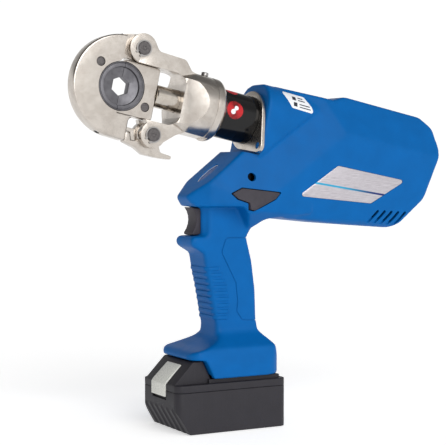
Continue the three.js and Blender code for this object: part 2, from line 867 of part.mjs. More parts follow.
// The housing's outer form, or with a wall, the space inside it.
function housingForm(wall) {
  const trim = (corners) => (wall > 0 ? inset(corners, wall) : corners);
  const barrelBody = slab(trim(barrelSide), housing.barrelHalf).intersect(
    plateX(barrelSection(wall), 0, 300),
  );
  const wedges = [-1, 1].flatMap((side) => [bandWedge(side, -wall), underWedge(side, -wall)]);
  const trunkBody = slab(trim(trunkSide), housing.barrelHalf - wall);
  const flanked = cut(join(intoPart(barrelBody), trunkBody), ...wedges);
  const grip = slab(trim(gripSide), housing.gripHalf - wall);
  const corner = housing.footCorner;
  const plan = outline([
    [-42, -housing.footHalf + wall, corner],
    [54, -housing.footHalf + wall, corner],
    [54, housing.footHalf - wall, corner],
    [-42, housing.footHalf - wall, corner],
  ]);
  const foot = slab(trim(footSide), 50)
    .intersect(plateZ(plan, 0, 120))
    .intersect(plateX(footSection(wall), -60, 60));
  return join(flanked, archForm(wall), grip, foot);
}

const housingScrews = [
  { name: "housing_screw_front", x: 23, z: 235, face: housing.trunkHalf },
  { name: "housing_screw_middle", x: 122, z: 223, face: housing.barrelHalf },
  { name: "housing_screw_rear", x: 163, z: 226, face: housing.barrelHalf },
];

const labelCorners = [
  [68.5, 217, 2],
  [151.4, 208.8, 3],
  [193, 231, 2],
  [113.5, 245.8, 3],
];

const retractCorners = [
  [1.8, 219.8, 1],
  [7.1, 214.7],
  [17.1, 211, 1],
  [17.4, 204.6, 1],
  [21.7, 203.8, 1],
  [44, 214.3],
  [49.6, 220.3, 1],
  [12.2, 224.8, 1],
];
const retractTravel = 3;

const acrossY = (radius, x, z, from, to, segments = COARSE) =>
  rod("y", radius, from, to, segments).translate([x, 0, z]);

// One shell and its bosses, then everything that is cut out of both halves.
function makeHousing() {
  const { wall, bossRadius, trunkHalf, barrelHalf } = housing;
  const shell = cut(housingForm(0), housingForm(wall));
  const bosses = housingScrews.map(({ x, z, face }) => acrossY(bossRadius, x, z, -face + 1, face - 1));
  const holes = housingScrews.flatMap(({ x, z, face }) => [
    acrossY(housing.screwRadius + CLEARANCE, x, z, -60, face - 6),
    acrossY(4, x, z, -60, -face + 8),
  ]);
  const openings = [
    intoPart(rod("x", cylinderRadius + CLEARANCE, 20, cylinder.end - 10, FINE)),
    intoPart(block([-40, -60, flange.earT - flange.earRadius - 1.5], [housingFront, 60, 80])),
    block([-20, -trigger.half - 0.5, trigger.bottom - 0.2], [-10, trigger.half + 0.5, trigger.top + 0.2]),
    block([-21, -32, footFloor - 2], [50, 32, footFloor + wall + 0.5]),
    block([-44, -battery.railHalf - 1.5, footFloor - 1], [-10, battery.railHalf + 1.5, battery.railTop + 1.5]),
    slab(labelCorners, 60).intersect(
      join(
        block([0, -60, 150], [300, -barrelHalf + label.thickness + CLEARANCE, 300]),
        block([0, barrelHalf - label.thickness - CLEARANCE, 150], [300, 60, 300]),
      ),
    ),
    plateY(outline(retractCorners), -60, -trunkHalf + wall + 5),
    nameplateSeat(CLEARANCE),
  ];
  return cut(join(shell, ...bosses), ...holes, ...openings);
}

const nameplate = { x: -6.5, z: 238.2, long: 26, wide: 13, thickness: 1.4 };

// An oval plate let into the front slope.
function nameplateSeat(gap) {
  const { x, z, long, wide, thickness } = nameplate;
  const slope = THREE.MathUtils.radToDeg(Math.atan2(240.5 - 216.5, -5 + 36));
  const oval = new THREE.Shape().absellipse(0, 0, long / 2 + gap, wide / 2 + gap, 0, 2 * Math.PI);
  const depth = gap > 0 ? thickness + gap : thickness;
  return turn(plateZ(oval, -depth, gap > 0 ? 4 : 0), -slope).translate([x, 0, z]);
}

const leftHalf = () => block([-200, -60, 0], [300, -CLEARANCE / 2, 400]);
const rightHalf = () => block([-200, CLEARANCE / 2, 0], [300, 60, 400]);

function makeHousingScrew({ x, z, face }) {
  const head = rod("y", 3.2, -face + 5, -face + 7.6, COARSE);
  const cross = block([-2, -face + 4, -0.5], [2, -face + 6, 0.5]);
  const shank = rod("y", housing.screwRadius, -face + 7, face - 8, COARSE);
  return cut(join(head, shank), cross, cross.rotate([0, 90, 0])).translate([x, 0, z]);
}

const makeSideLabel = (side) => {
  const outer = housing.barrelHalf - 0.1;
  const inner = outer - label.thickness;
  const shape = outline(inset(labelCorners, CLEARANCE));
  return side < 0 ? plateY(shape, -outer, -inner) : plateY(shape, inner, outer);
};

// ---- Controls --------------------------------------------------------------------------

// The trigger's face is hollowed for the finger; its stem runs back to the switch.
function makeTrigger() {
  const { front, bottom, top, half } = trigger;
  const middle = (bottom + top) / 2;
  const shape = new THREE.Shape();
  shape.moveTo(front + 1.5, bottom);
  shape.lineTo(-13, bottom + 1.8);
  shape.lineTo(-13, top - 1.8);
  shape.lineTo(front, top);
  shape.quadraticCurveTo(front + 5, middle + 4, front + 3, middle - 4);
  shape.quadraticCurveTo(front + 1.5, bottom + 6, front - 1, bottom + 2);
  shape.closePath();
  const body = cut(plateY(shape, -half, half), rod("x", 5.5, -24, -10, COARSE).translate([0, 0, middle]));
  return body;
}

const switchFront = -13 + trigger.travel + 1;

const triggerMiddle = (trigger.bottom + trigger.top) / 2;

function makeTriggerSwitch() {
  const body = block([switchFront, -8, trigger.bottom + 2], [switchFront + 24, 8, trigger.top + 1]);
  const nose = rod("x", 2.4, -15.5, switchFront + 1, COARSE).translate([0, 0, triggerMiddle]);
  return join(body, nose);
}

const makeTriggerSpring = () =>
  spring(4, 0.6, 3, 5).translate([switchFront - 5.4, 0, triggerMiddle]);

// The pressure-release button on the left side: a cap with a flange inside the wall.
function makeRetractButton() {
  const { trunkHalf, barrelHalf, wall } = housing;
  const block = plateY(outline(inset(retractCorners, CLEARANCE)), -barrelHalf, -trunkHalf + wall + 1);
  const cap = block.subtract(bandWedge(-1, 0.8));
  const stem = acrossY(4, 24, 214, -trunkHalf + wall, -trunkHalf + wall + 6);
  return join(cap, stem);
}

const makeRetractSpring = () =>
  spring(3, 0.5, 3, 5)
    .rotate([0, 0, 90])
    .translate([24, -housing.trunkHalf + housing.wall + 6 + retractTravel + 0.4, 214]);

const makeControlBoard = () => block([118, -26, -60], [184, 26, -58.4]);

// ---- Battery mount and battery ---------------------------------------------------------

const mountFront = -16;

// The rails inside the foot that the battery's tower slides between, joined at the back.
function makeFootRails() {
  const floor = footFloor + CLEARANCE;
  const plate = block([mountFront, -31, floor], [48, 31, floor + 2.6]);
  const channel = block([mountFront - 1, -battery.railNeck - 0.5, 0], [26, battery.railNeck + 0.5, 100]);
  return cut(plate, channel);
}

const terminalZ = battery.railTop - 3;

function makeTerminalBlock() {
  const body = block([29, -17, footFloor + 3.4], [36, 17, footFloor + 17]);
  return cut(body, ...[-1, 1].map((side) => bladeBox(side, CLEARANCE)));
}

const bladeBox = (side, gap) =>
  block(
    [12 - gap, side * 9 - 1 - gap, terminalZ - 2.4 - gap],
    [44 + gap, side * 9 + 1 + gap, terminalZ + 1.6 + gap],
  );

function tubOutline() {
  const { length, tubTop, noseSetback, noseRise } = battery;
  const half = length / 2;
  return outline([
    [-half + noseSetback, 0, 2],
    [half, 0, 3],
    [half, tubTop],
    [-half, tubTop],
    [-half, noseRise, 4],
  ]);
}

const batteryPlan = (wall) => {
  const x = battery.length / 2 - wall;
  const y = battery.width / 2 - wall;
  const r = battery.corner - wall / 2;
  return outline([[-x, -y, r], [x, -y, r], [x, y, r], [-x, y, r]]);
};

function makeTub() {
  const { width, length, wall, tubTop, noseSetback } = battery;
  const outer = plateY(tubOutline(), -width / 2, width / 2).intersect(plateZ(batteryPlan(0), -1, 60));
  const front = -length / 2 + noseSetback + 2;
  const room = plateZ(batteryPlan(wall), wall, 60).intersect(
    slab([[front, 0], [80, 0], [80, 60], [-length / 2 + 5, 60], [-length / 2 + 5, battery.noseRise]], 50),
  );
  const notchHalf = battery.buttonHalf + 0.5;
  const notch = block([-80, -notchHalf, 30], [-length / 2 + 2.2, notchHalf, tubTop + 1]);
  return cut(outer, room, notch);
}

// The battery's cover: rim, deck, front hump with the button's pocket, and the rail tower.
function makeCover() {
  const { length, width, tubTop, rimTop, humpHalf, humpTop, humpBack, railTop } = battery;
  const half = length / 2;
  const floor = tubTop + CLEARANCE;
  const deck = footFloor - CLEARANCE;
  const rim = plateZ(batteryPlan(0), floor, rimTop);
  const raised = block([humpBack - 1, -width / 2 + 5, rimTop - 1], [half - 6, width / 2 - 5, deck]);
  const hump = slab(
    [
      [-half + 1, rimTop - 1],
      [humpBack + 2, rimTop - 1],
      [humpBack + 2, footFloor],
      [humpBack - 6, humpTop],
      [-half + 20, humpTop, 3],
      [-half + 1, rimTop + 0.5],
    ],
    humpHalf,
  );
  const neck = block([humpBack - 3, -battery.railNeck, deck - 1], [20, battery.railNeck, railTop]);
  const head = block([humpBack - 3, -battery.railHalf, footFloor + 3.4], [20, battery.railHalf, railTop]);
  const room = plateZ(batteryPlan(4), floor - 1, rimTop - 1.5);
  const seat = buttonSeat(CLEARANCE);
  const blades = [-1, 1].map((side) => bladeBox(side, 0.6));
  return cut(join(rim, raised, hump, neck, head), room, seat, ...blades);
}

// The release button lies on the hump's front slope; its tab hangs over the rim.
const slopeTop = [-battery.length / 2 + 16.2, 61.2];
const slopeFoot = [-battery.length / 2 + 0.6, 46.2];
const slopeAngle = Math.atan2(slopeTop[1] - slopeFoot[1], slopeTop[0] - slopeFoot[0]);
const slopeLength = Math.hypot(slopeTop[0] - slopeFoot[0], slopeTop[1] - slopeFoot[1]);
const alongSlope = (body) =>
  turn(body, -THREE.MathUtils.radToDeg(slopeAngle)).translate([slopeFoot[0], 0, slopeFoot[1]]);

function buttonSeat(gap) {
  const { buttonHalf, buttonTravel, length } = battery;
  const half = buttonHalf + gap;
  const pocket = block([-2, -half, -4 - buttonTravel - gap], [slopeLength + gap, half, 12]);
  const notch = block([-80, -half, 30], [-length / 2 + 3, half, battery.rimTop + 1]);
  return join(alongSlope(pocket), notch);
}

function makeBatteryButton() {
  const { buttonHalf, length } = battery;
  const cap = alongSlope(block([0.2, -buttonHalf, -4], [slopeLength - 0.2, buttonHalf, 1]));
  const tab = slab(
    [
      [-length / 2 - 1.6, 33],
      [-length / 2 + 0.1, 33],
      [-length / 2 + 0.3, 42],
      [-length / 2 + 3, 45.6],
      [-length / 2 + 0.4, 47.4],
      [-length / 2 - 1.6, 44.5],
    ],
    buttonHalf,
  );
  return join(cap, tab);
}

// Ten cells in two rows, welded together at each end by nickel strip.
function makeCells() {
  const { cellRadius, cellLength, wall } = battery;
  const pitch = 2 * cellRadius + 0.6;
  const cells = [];
  for (let row = 0; row < 2; row += 1) {
    for (let column = -2; column <= 2; column += 1) {
      const z = wall + CLEARANCE + cellRadius + row * (pitch - 1.4);
      const x = 3 + column * pitch;
      cells.push(acrossY(cellRadius - (row ? 0.8 : 0), x, z, -cellLength / 2, cellLength / 2));
    }
  }
  const strips = [-1, 1].map((side) => {
    const y = side * (cellLength / 2);
    return block([3 - 2 * pitch - 4, y - 0.3, 8], [3 + 2 * pitch + 4, y + 0.3, 34]);
  });
  return join(...cells, ...strips);
}

// ---- Assembly --------------------------------------------------------------------------

const housingSolid = makeHousing();
place(tool, "housing_left", housingSolid.intersect(leftHalf()), BLUE);
place(tool, "housing_right", housingSolid.intersect(rightHalf()), BLUE);
housingScrews.forEach((screw) => place(tool, screw.name, makeHousingScrew(screw), STEEL));
place(tool, "side_label_left", makeSideLabel(-1), NICKEL);
place(tool, "side_label_right", makeSideLabel(1), NICKEL);
place(tool, "nameplate", nameplateSeat(0), NICKEL);

place(tool, "trigger", makeTrigger(), DARK);
place(tool, "trigger_switch", makeTriggerSwitch(), BLACK);
place(tool, "trigger_spring", makeTriggerSpring(), STEEL);
place(tool, "retract_button", makeRetractButton(), DARK);
place(tool, "retract_spring", makeRetractSpring(), STEEL);

place(tool, "foot_rails", makeFootRails(), STEEL);
place(tool, "terminal_block", makeTerminalBlock(), BLACK);
place(tool, "terminal_blade_left", bladeBox(-1, 0), COPPER);
place(tool, "terminal_blade_right", bladeBox(1, 0), COPPER);

place(tool, "battery_tub", makeTub(), CHARCOAL);
place(tool, "battery_cover", makeCover(), CHARCOAL);
place(tool, "cell_block", makeCells(), GREEN);
place(tool, "battery_button", makeBatteryButton(), PALE);

place(barrelGroup, "cylinder_sleeve", makeSleeve(), GLOSS_BLACK);
place(barrelGroup, "cylinder", makeCylinder(), STEEL);
place(barrelGroup, "return_spring", makeReturnSpring(), STEEL);
place(barrelGroup, "flange_plate", makeFlange(), STEEL);
place(barrelGroup, "pump_block", makePumpBlock(), STEEL);
place(barrelGroup, "pump_shaft", makePumpShaft(), STEEL);
place(barrelGroup, "relief_valve", makeReliefValve(), COPPER);
place(barrelGroup, "oil_reservoir", makeReservoir(), BLACK);
place(barrelGroup, "gearbox", makeGearbox(), STEEL);
place(barrelGroup, "motor", makeMotor(), STEEL);
place(barrelGroup, "motor_cap", makeMotorCap(), BLACK);
place(barrelGroup, "control_board", makeControlBoard(), GREEN);

place(barrelGroup, "yoke", makeYoke(), NICKEL);
place(barrelGroup, "swivel_screw", makeSwivelScrew(), STEEL);
[["hinge", hinge], ["latch", pivot]].forEach(([name, spot]) => {
  place(barrelGroup, `${name}_pin`, makePin(spot), DIE);
  place(barrelGroup, `${name}_clip_left`, makeClip(spot, -1), STEEL);
  place(barrelGroup, `${name}_clip_right`, makeClip(spot, 1), STEEL);
});
place(barrelGroup, "latch", makeLatch(), NICKEL);
place(barrelGroup, "latch_spring", makeLatchSpring(), STEEL);

const dieSolid = makeDie();
place(barrelGroup, "jaw", makeJaw(), NICKEL);
place(barrelGroup, "jaw_set_screw", makeJawSetScrew(), BLACK);
place(barrelGroup, "jaw_die", dieSolid.intersect(halfPlane(-300, dieCentre - CLEARANCE / 2)), DIE);
place(barrelGroup, "jaw_die_button", makeButton(jawButton), DIE);
place(barrelGroup, "carriage", makeCarriage(), NICKEL);
place(barrelGroup, "ram_die", dieSolid.intersect(halfPlane(dieCentre + CLEARANCE / 2, 100)), DIE);
place(barrelGroup, "ram_die_button", makeButton(ramButton), DIE);
place(barrelGroup, "ram", makeRam(), STEEL);

function makeSleeve() {
  return turned(
    [
      [sleeve.radius - sleeve.wall, CLEARANCE],
      [sleeve.radius - 0.8, CLEARANCE],
      [sleeve.radius, CLEARANCE + 0.8],
      [sleeve.radius, sleeve.length],
      [sleeve.radius - sleeve.wall, sleeve.length],
      [sleeve.radius - sleeve.wall, CLEARANCE],
    ],
    "x",
    FINE,
  );
}

function makeReturnSpring() {
  const start = -cylinder.spigotLength + cylinder.glandThickness + CLEARANCE;
  const length = ram.pistonFront - CLEARANCE - start;
  return spring((cylinder.bore + ram.rodRadius) / 2, 1.1, 7, length).translate([start, 0, 0]);
}

export default tool;
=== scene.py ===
"""Battery hydraulic crimping tool: the looks of its pieces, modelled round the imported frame."""

import sys
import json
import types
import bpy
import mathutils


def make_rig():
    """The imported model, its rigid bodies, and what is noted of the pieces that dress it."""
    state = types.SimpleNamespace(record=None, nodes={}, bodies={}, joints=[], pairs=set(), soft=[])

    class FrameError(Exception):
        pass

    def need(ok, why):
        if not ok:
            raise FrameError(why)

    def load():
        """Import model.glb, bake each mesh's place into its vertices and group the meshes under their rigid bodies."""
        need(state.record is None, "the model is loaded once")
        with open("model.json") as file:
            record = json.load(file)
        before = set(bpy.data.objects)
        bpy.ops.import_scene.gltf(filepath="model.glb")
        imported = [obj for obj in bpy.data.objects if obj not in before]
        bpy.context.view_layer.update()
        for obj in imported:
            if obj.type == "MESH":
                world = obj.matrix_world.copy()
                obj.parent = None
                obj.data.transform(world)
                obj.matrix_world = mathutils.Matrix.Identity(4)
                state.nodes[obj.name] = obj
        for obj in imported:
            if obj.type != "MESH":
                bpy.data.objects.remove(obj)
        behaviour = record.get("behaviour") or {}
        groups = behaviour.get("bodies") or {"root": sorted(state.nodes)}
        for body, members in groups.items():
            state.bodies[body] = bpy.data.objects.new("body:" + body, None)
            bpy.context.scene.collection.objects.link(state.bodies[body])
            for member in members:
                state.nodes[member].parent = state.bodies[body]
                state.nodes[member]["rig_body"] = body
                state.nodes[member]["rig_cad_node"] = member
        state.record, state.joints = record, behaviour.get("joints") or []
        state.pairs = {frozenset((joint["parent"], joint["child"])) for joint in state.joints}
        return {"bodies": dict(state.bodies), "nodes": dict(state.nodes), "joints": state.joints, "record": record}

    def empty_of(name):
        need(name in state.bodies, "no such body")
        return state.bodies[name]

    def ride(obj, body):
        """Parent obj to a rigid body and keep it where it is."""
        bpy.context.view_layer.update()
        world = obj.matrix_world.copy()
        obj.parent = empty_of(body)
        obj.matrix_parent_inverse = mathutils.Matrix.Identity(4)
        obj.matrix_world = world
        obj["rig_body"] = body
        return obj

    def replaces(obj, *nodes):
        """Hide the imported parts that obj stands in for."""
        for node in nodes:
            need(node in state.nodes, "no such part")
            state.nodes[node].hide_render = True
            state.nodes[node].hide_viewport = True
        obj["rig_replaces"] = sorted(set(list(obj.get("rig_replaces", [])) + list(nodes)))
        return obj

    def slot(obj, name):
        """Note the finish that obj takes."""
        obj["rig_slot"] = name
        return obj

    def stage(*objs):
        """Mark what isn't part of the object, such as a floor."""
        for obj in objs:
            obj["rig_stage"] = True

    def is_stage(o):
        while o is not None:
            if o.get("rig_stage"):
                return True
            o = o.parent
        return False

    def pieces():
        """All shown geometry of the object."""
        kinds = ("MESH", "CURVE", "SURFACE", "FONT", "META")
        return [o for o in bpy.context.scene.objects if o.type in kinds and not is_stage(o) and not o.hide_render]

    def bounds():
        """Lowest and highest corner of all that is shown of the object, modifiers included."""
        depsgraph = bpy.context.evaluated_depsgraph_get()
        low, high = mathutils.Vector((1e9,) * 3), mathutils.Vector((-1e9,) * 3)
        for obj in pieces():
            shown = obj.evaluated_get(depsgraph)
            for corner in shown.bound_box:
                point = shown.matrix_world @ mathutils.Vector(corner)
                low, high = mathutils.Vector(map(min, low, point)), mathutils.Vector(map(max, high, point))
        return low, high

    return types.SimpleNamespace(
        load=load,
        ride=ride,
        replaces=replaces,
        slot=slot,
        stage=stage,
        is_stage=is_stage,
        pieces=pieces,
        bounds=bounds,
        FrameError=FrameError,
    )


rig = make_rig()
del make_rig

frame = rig.load()

import json
import math

import bpy
from mathutils import Matrix, Vector

CAD_BOUNDS = [list(corner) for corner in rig.bounds()]

bl_info = {
    "name": "Hydraulic crimping tool",
    "version": (1, 0, 0),
    "blender": (4, 5, 0),
    "location": "View3D > Sidebar > Crimping tool",
    "description": "Models a battery hydraulic crimping tool piece by piece",
    "category": "Add Mesh",
}

# ---- Dimensions, in millimetres unless a name says otherwise ------------------------------

MM = 0.001
TILT = math.radians(12)
AXIS_HEIGHT = 296.4
GAP = 0.3

BARREL_HALF = 40
TRUNK_HALF = 30
GRIP_HALF = 18
FOOT_HALF = 37
WALL = 3
FOOT_FLOOR = 49.2

SLEEVE_RADIUS = 23
SLEEVE_LENGTH = 35.2
FLANGE_FRONT = 35.5
FLANGE_REAR = 39.5
SHELL_FRONT = 39.8

FORK_HALF = 11.5
TONGUE_HALF = 4.5
WINDOW_REAR = -42
WINDOW_HALF = 24.5
WINDOW_CORNER = 9.5
HINGE = (-88, 38)
PIVOT = (-63, -36.7)
UPPER_EAR = 13.5
LOWER_EAR = 12.2
ARM_TOP = 38.2
COLLAR_RADIUS = 30
PIN_RADIUS = 6.2

DIE_CENTRE = -100.5
DIE_RADIUS = 22.4
DIE_HALF = 6.8
DIE_FLATS = 16
JAW_HALF = 7
JAW_RADIUS = 46.9
CARRIAGE_REAR = -65.5
CARRIAGE_HALF = 24.2
ROD_RADIUS = 10.5

BATTERY_LENGTH = 116
BATTERY_WIDTH = 75
TUB_TOP = 38.3
RIM_TOP = 45.4
BUTTON_HALF = 14


# ---- Modelling steps ----------------------------------------------------------------------


def deselect():
    """Leaves edit mode and selects nothing."""
    if bpy.context.object and bpy.context.object.mode != "OBJECT":
        bpy.ops.object.mode_set(mode="OBJECT")
    bpy.ops.object.select_all(action="DESELECT")


def pick(piece):
    """Makes a piece the only selected one and the active one."""
    deselect()
    piece.select_set(True)
    bpy.context.view_layer.objects.active = piece
    return piece


def named(name):
    """The piece that a primitive operator has just added, with its name."""
    piece = bpy.context.object
    piece.name = name
    piece.data.name = name
    return piece


def outward(piece):
    """Merges doubles, drops loose edges and points every face outwards."""
    pick(piece)
    bpy.ops.object.mode_set(mode="EDIT")
    bpy.ops.mesh.select_all(action="SELECT")
    bpy.ops.mesh.remove_doubles(threshold=0.00001)
    bpy.ops.mesh.delete_loose(use_verts=True, use_edges=True, use_faces=False)
    bpy.ops.mesh.select_all(action="SELECT")
    bpy.ops.mesh.normals_make_consistent(inside=False)
    bpy.ops.object.mode_set(mode="OBJECT")
    return piece


def rounded(corners, steps=8):
    """An outline whose corners (a, b, radius) are drawn as arcs."""
    points = []
    count = len(corners)
    for index, corner in enumerate(corners):
        here = Vector(corner[:2])
        radius = corner[2] if len(corner) > 2 else 0
        if not radius:
            points.append(tuple(here))
            continue
        before = Vector(corners[index - 1][:2]) - here
        after = Vector(corners[(index + 1) % count][:2]) - here
        angle = before.angle(after)
        setback = radius / math.tan(angle / 2)
        setback = min(setback, 0.48 * before.length, 0.48 * after.length)
        radius = setback * math.tan(angle / 2)
        bisector = (before.normalized() + after.normalized()).normalized()
        middle = here + bisector * (radius / math.sin(angle / 2))
        start = here + before.normalized() * setback - middle
        end = here + after.normalized() * setback - middle
        sweep = start.angle_signed(end)
        for step in range(steps + 1):
            turn = Matrix.Rotation(-sweep * step / steps, 2)
            points.append(tuple(middle + turn @ start))
    return points


def arc(centre, radius, start, end, steps=24):
    """Points along an arc, from one angle to another in degrees."""
    points = []
    for step in range(steps + 1):
        angle = math.radians(start + (end - start) * step / steps)
        points.append((centre[0] + radius * math.cos(angle), centre[1] + radius * math.sin(angle)))
    return points


ACROSS = {
    "x": lambda a, b, c: Vector((c, a, b)) * MM,
    "y": lambda a, b, c: Vector((a, c, b)) * MM,
    "z": lambda a, b, c: Vector((a, b, c)) * MM,
}


def plate(name, corners, low, high, across="y"):
    """A plate: a filled circle with its rim drawn out to the corners, extruded from low to high."""
    place = ACROSS[across]
    deselect()
    bpy.ops.mesh.primitive_circle_add(vertices=len(corners), radius=1, fill_type="NGON")
    piece = named(name)
    for vertex, (a, b) in zip(piece.data.vertices, corners):
        vertex.co = place(a, b, low)
    bpy.ops.object.mode_set(mode="EDIT")
    bpy.ops.mesh.select_all(action="SELECT")
    bpy.ops.mesh.extrude_region_move(TRANSFORM_OT_translate={"value": place(0, 0, high - low)})
    bpy.ops.object.mode_set(mode="OBJECT")
    return outward(piece)


def turned(name, profile, steps=96, about="x"):
    """A turned piece: a ring of points drawn out to (along, radius), spun about an axis."""
    deselect()
    bpy.ops.mesh.primitive_circle_add(vertices=len(profile), radius=1, fill_type="NOTHING")
    piece = named(name)
    for vertex, (along, radius) in zip(piece.data.vertices, profile):
        vertex.co = {
            "x": Vector((along, 0, radius)),
            "y": Vector((radius, along, 0)),
            "z": Vector((radius, 0, along)),
        }[about] * MM
    axis = {"x": (1, 0, 0), "y": (0, 1, 0), "z": (0, 0, 1)}[about]
    bpy.ops.object.mode_set(mode="EDIT")
    bpy.ops.mesh.select_all(action="SELECT")
    bpy.ops.mesh.spin(steps=steps, angle=2 * math.pi, center=(0, 0, 0), axis=axis)
    bpy.ops.object.mode_set(mode="OBJECT")
    return outward(piece)


def shifted(piece, x=0, y=0, z=0):
    """Moves a piece's mesh by millimetres."""
    piece.location = (x * MM, y * MM, z * MM)
    pick(piece)
    bpy.ops.object.transform_apply(location=True, rotation=False, scale=False)
    return piece


def swung(piece, degrees, axis="Y", about=(0, 0)):
    """Turns a piece's mesh about an axis through a point of the side plane."""
    pick(piece)
    centre = Vector((about[0], 0, about[1])) * MM
    turn = Matrix.Translation(centre) @ Matrix.Rotation(math.radians(degrees), 4, axis)
    piece.matrix_world = turn @ Matrix.Translation(-centre)
    bpy.ops.object.transform_apply(location=True, rotation=True, scale=False)
    return piece


def box(name, low, high):
    """A block between two corners."""
    deselect()
    middle = [(a + b) / 2 * MM for a, b in zip(low, high)]
    size = [(b - a) * MM for a, b in zip(low, high)]
    bpy.ops.mesh.primitive_cube_add(size=1, location=middle, scale=size)
    piece = named(name)
    bpy.ops.object.transform_apply(location=True, rotation=False, scale=True)
    return piece


def rod(name, radius, low, high, across="y", centre=(0, 0), steps=64):
    """A round bar across the given axis, as a plate with a round outline."""
    corners = arc(centre, radius, 0, 360 * (steps - 1) / steps, steps - 1)
    return plate(name, corners, low, high, across)


def combined(piece, others, operation):
    """Adds, cuts or intersects with other pieces, which are used up."""
    for other in others:
        pick(piece)
        step = piece.modifiers.new("solid", "BOOLEAN")
        step.operation = operation
        step.solver = "MANIFOLD"
        step.object = other
        bpy.ops.object.modifier_apply(modifier=step.name)
        bpy.data.objects.remove(other, do_unlink=True)
    return piece


def joined(piece, *others):
    return combined(piece, others, "UNION")


def cut(piece, *others):
    return combined(piece, others, "DIFFERENCE")


def common(piece, *others):
    return combined(piece, others, "INTERSECT")


def bevelled(piece, width, segments=3, angle=30):
    """Rounds the edges that turn by more than an angle."""
    pick(piece)
    step = piece.modifiers.new("edges", "BEVEL")
    step.width = width * MM
    step.segments = segments
    step.limit_method = "ANGLE"
    step.angle_limit = math.radians(angle)
    step.use_clamp_overlap = True
    step.miter_outer = "MITER_ARC"
    bpy.ops.object.modifier_apply(modifier=step.name)
    return piece


def melted(piece, voxel, smooth=0.5, repeat=6):
    """Remeshes a solid on a fine grid and smooths it, so its edges and corners become fillets."""
    pick(piece)
    step = piece.modifiers.new("grid", "REMESH")
    step.mode = "VOXEL"
    step.voxel_size = voxel * MM
    bpy.ops.object.modifier_apply(modifier=step.name)
    step = piece.modifiers.new("smooth", "SMOOTH")
    step.factor = smooth
    step.iterations = repeat
    bpy.ops.object.modifier_apply(modifier=step.name)
    return piece


def copied(piece, name):
    """A copy with its own mesh."""
    twin = piece.copy()
    twin.data = piece.data.copy()
    twin.name = name
    bpy.context.collection.objects.link(twin)
    return twin


def tilted(piece):
    """Takes a piece from the barrel's frame, along the ram's axis, to the tool's frame."""
    pick(piece)
    piece.matrix_world = Matrix.Translation((0, 0, AXIS_HEIGHT * MM)) @ Matrix.Rotation(TILT, 4, "Y")
    bpy.ops.object.transform_apply(location=True, rotation=True, scale=False)
    return piece


def finished(piece, material, body, slot, *nodes, angle=32):
    """Shades a piece, gives it its material and its body, and lets it stand for CAD nodes."""
    pick(piece)
    bpy.ops.object.shade_smooth_by_angle(angle=math.radians(angle))
    piece.data.materials.clear()
    piece.data.materials.append(material)
    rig.ride(piece, body)
    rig.slot(piece, slot)
    if nodes:
        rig.replaces(piece, *nodes)
    return piece


# ---- Shader maths -------------------------------------------------------------------------


class Wire:
    """A number, colour or vector on its way through a material."""

    def __init__(self, finish, socket):
        self.finish = finish
        self.socket = socket

    def maths(self, operation, *values):
        inputs = {index: value for index, value in enumerate(values)}
        return self.finish.node("ShaderNodeMath", {"operation": operation}, inputs)

    def __add__(self, other):
        return self.maths("ADD", self, other)

    __radd__ = __add__

    def __sub__(self, other):
        return self.maths("SUBTRACT", self, other)

    def __rsub__(self, other):
        return self.maths("SUBTRACT", other, self)

    def __mul__(self, other):
        return self.maths("MULTIPLY", self, other)

    __rmul__ = __mul__

    def __truediv__(self, other):
        return self.maths("DIVIDE", self, other)

    def __gt__(self, other):
        return self.maths("GREATER_THAN", self, other)

    def __lt__(self, other):
        return self.maths("LESS_THAN", self, other)

    def __abs__(self):
        return self.maths("ABSOLUTE", self)

    def step(self, low, high):
        """0 below low, 1 above high and smooth between."""
        return self.finish.node(
            "ShaderNodeMapRange",
            {"interpolation_type": "SMOOTHSTEP"},
            {"Value": self, "From Min": low, "From Max": high},
        )


class Tree:
    """A node tree, with one method that adds any node."""

    def __init__(self, tree):
        self.tree = tree
        tree.nodes.clear()

    def put(self, socket, value):
        if isinstance(value, Wire):
            self.tree.links.new(value.socket, socket)
        else:
            socket.default_value = value

    def node(self, kind, settings=None, inputs=None, output=0):
        """Adds a node, its settings first, then the values or wires of its sockets."""
        node = self.tree.nodes.new(kind)
        for name, value in (settings or {}).items():
            setattr(node, name, value)
        for name, value in (inputs or {}).items():
            self.put(node.inputs[name], value)
        return Wire(self, node.outputs[output])

    def split(self, vector):
        """The three numbers of a vector."""
        parts = self.node("ShaderNodeSeparateXYZ", inputs={0: vector}).socket.node.outputs
        return [Wire(self, part) for part in parts]


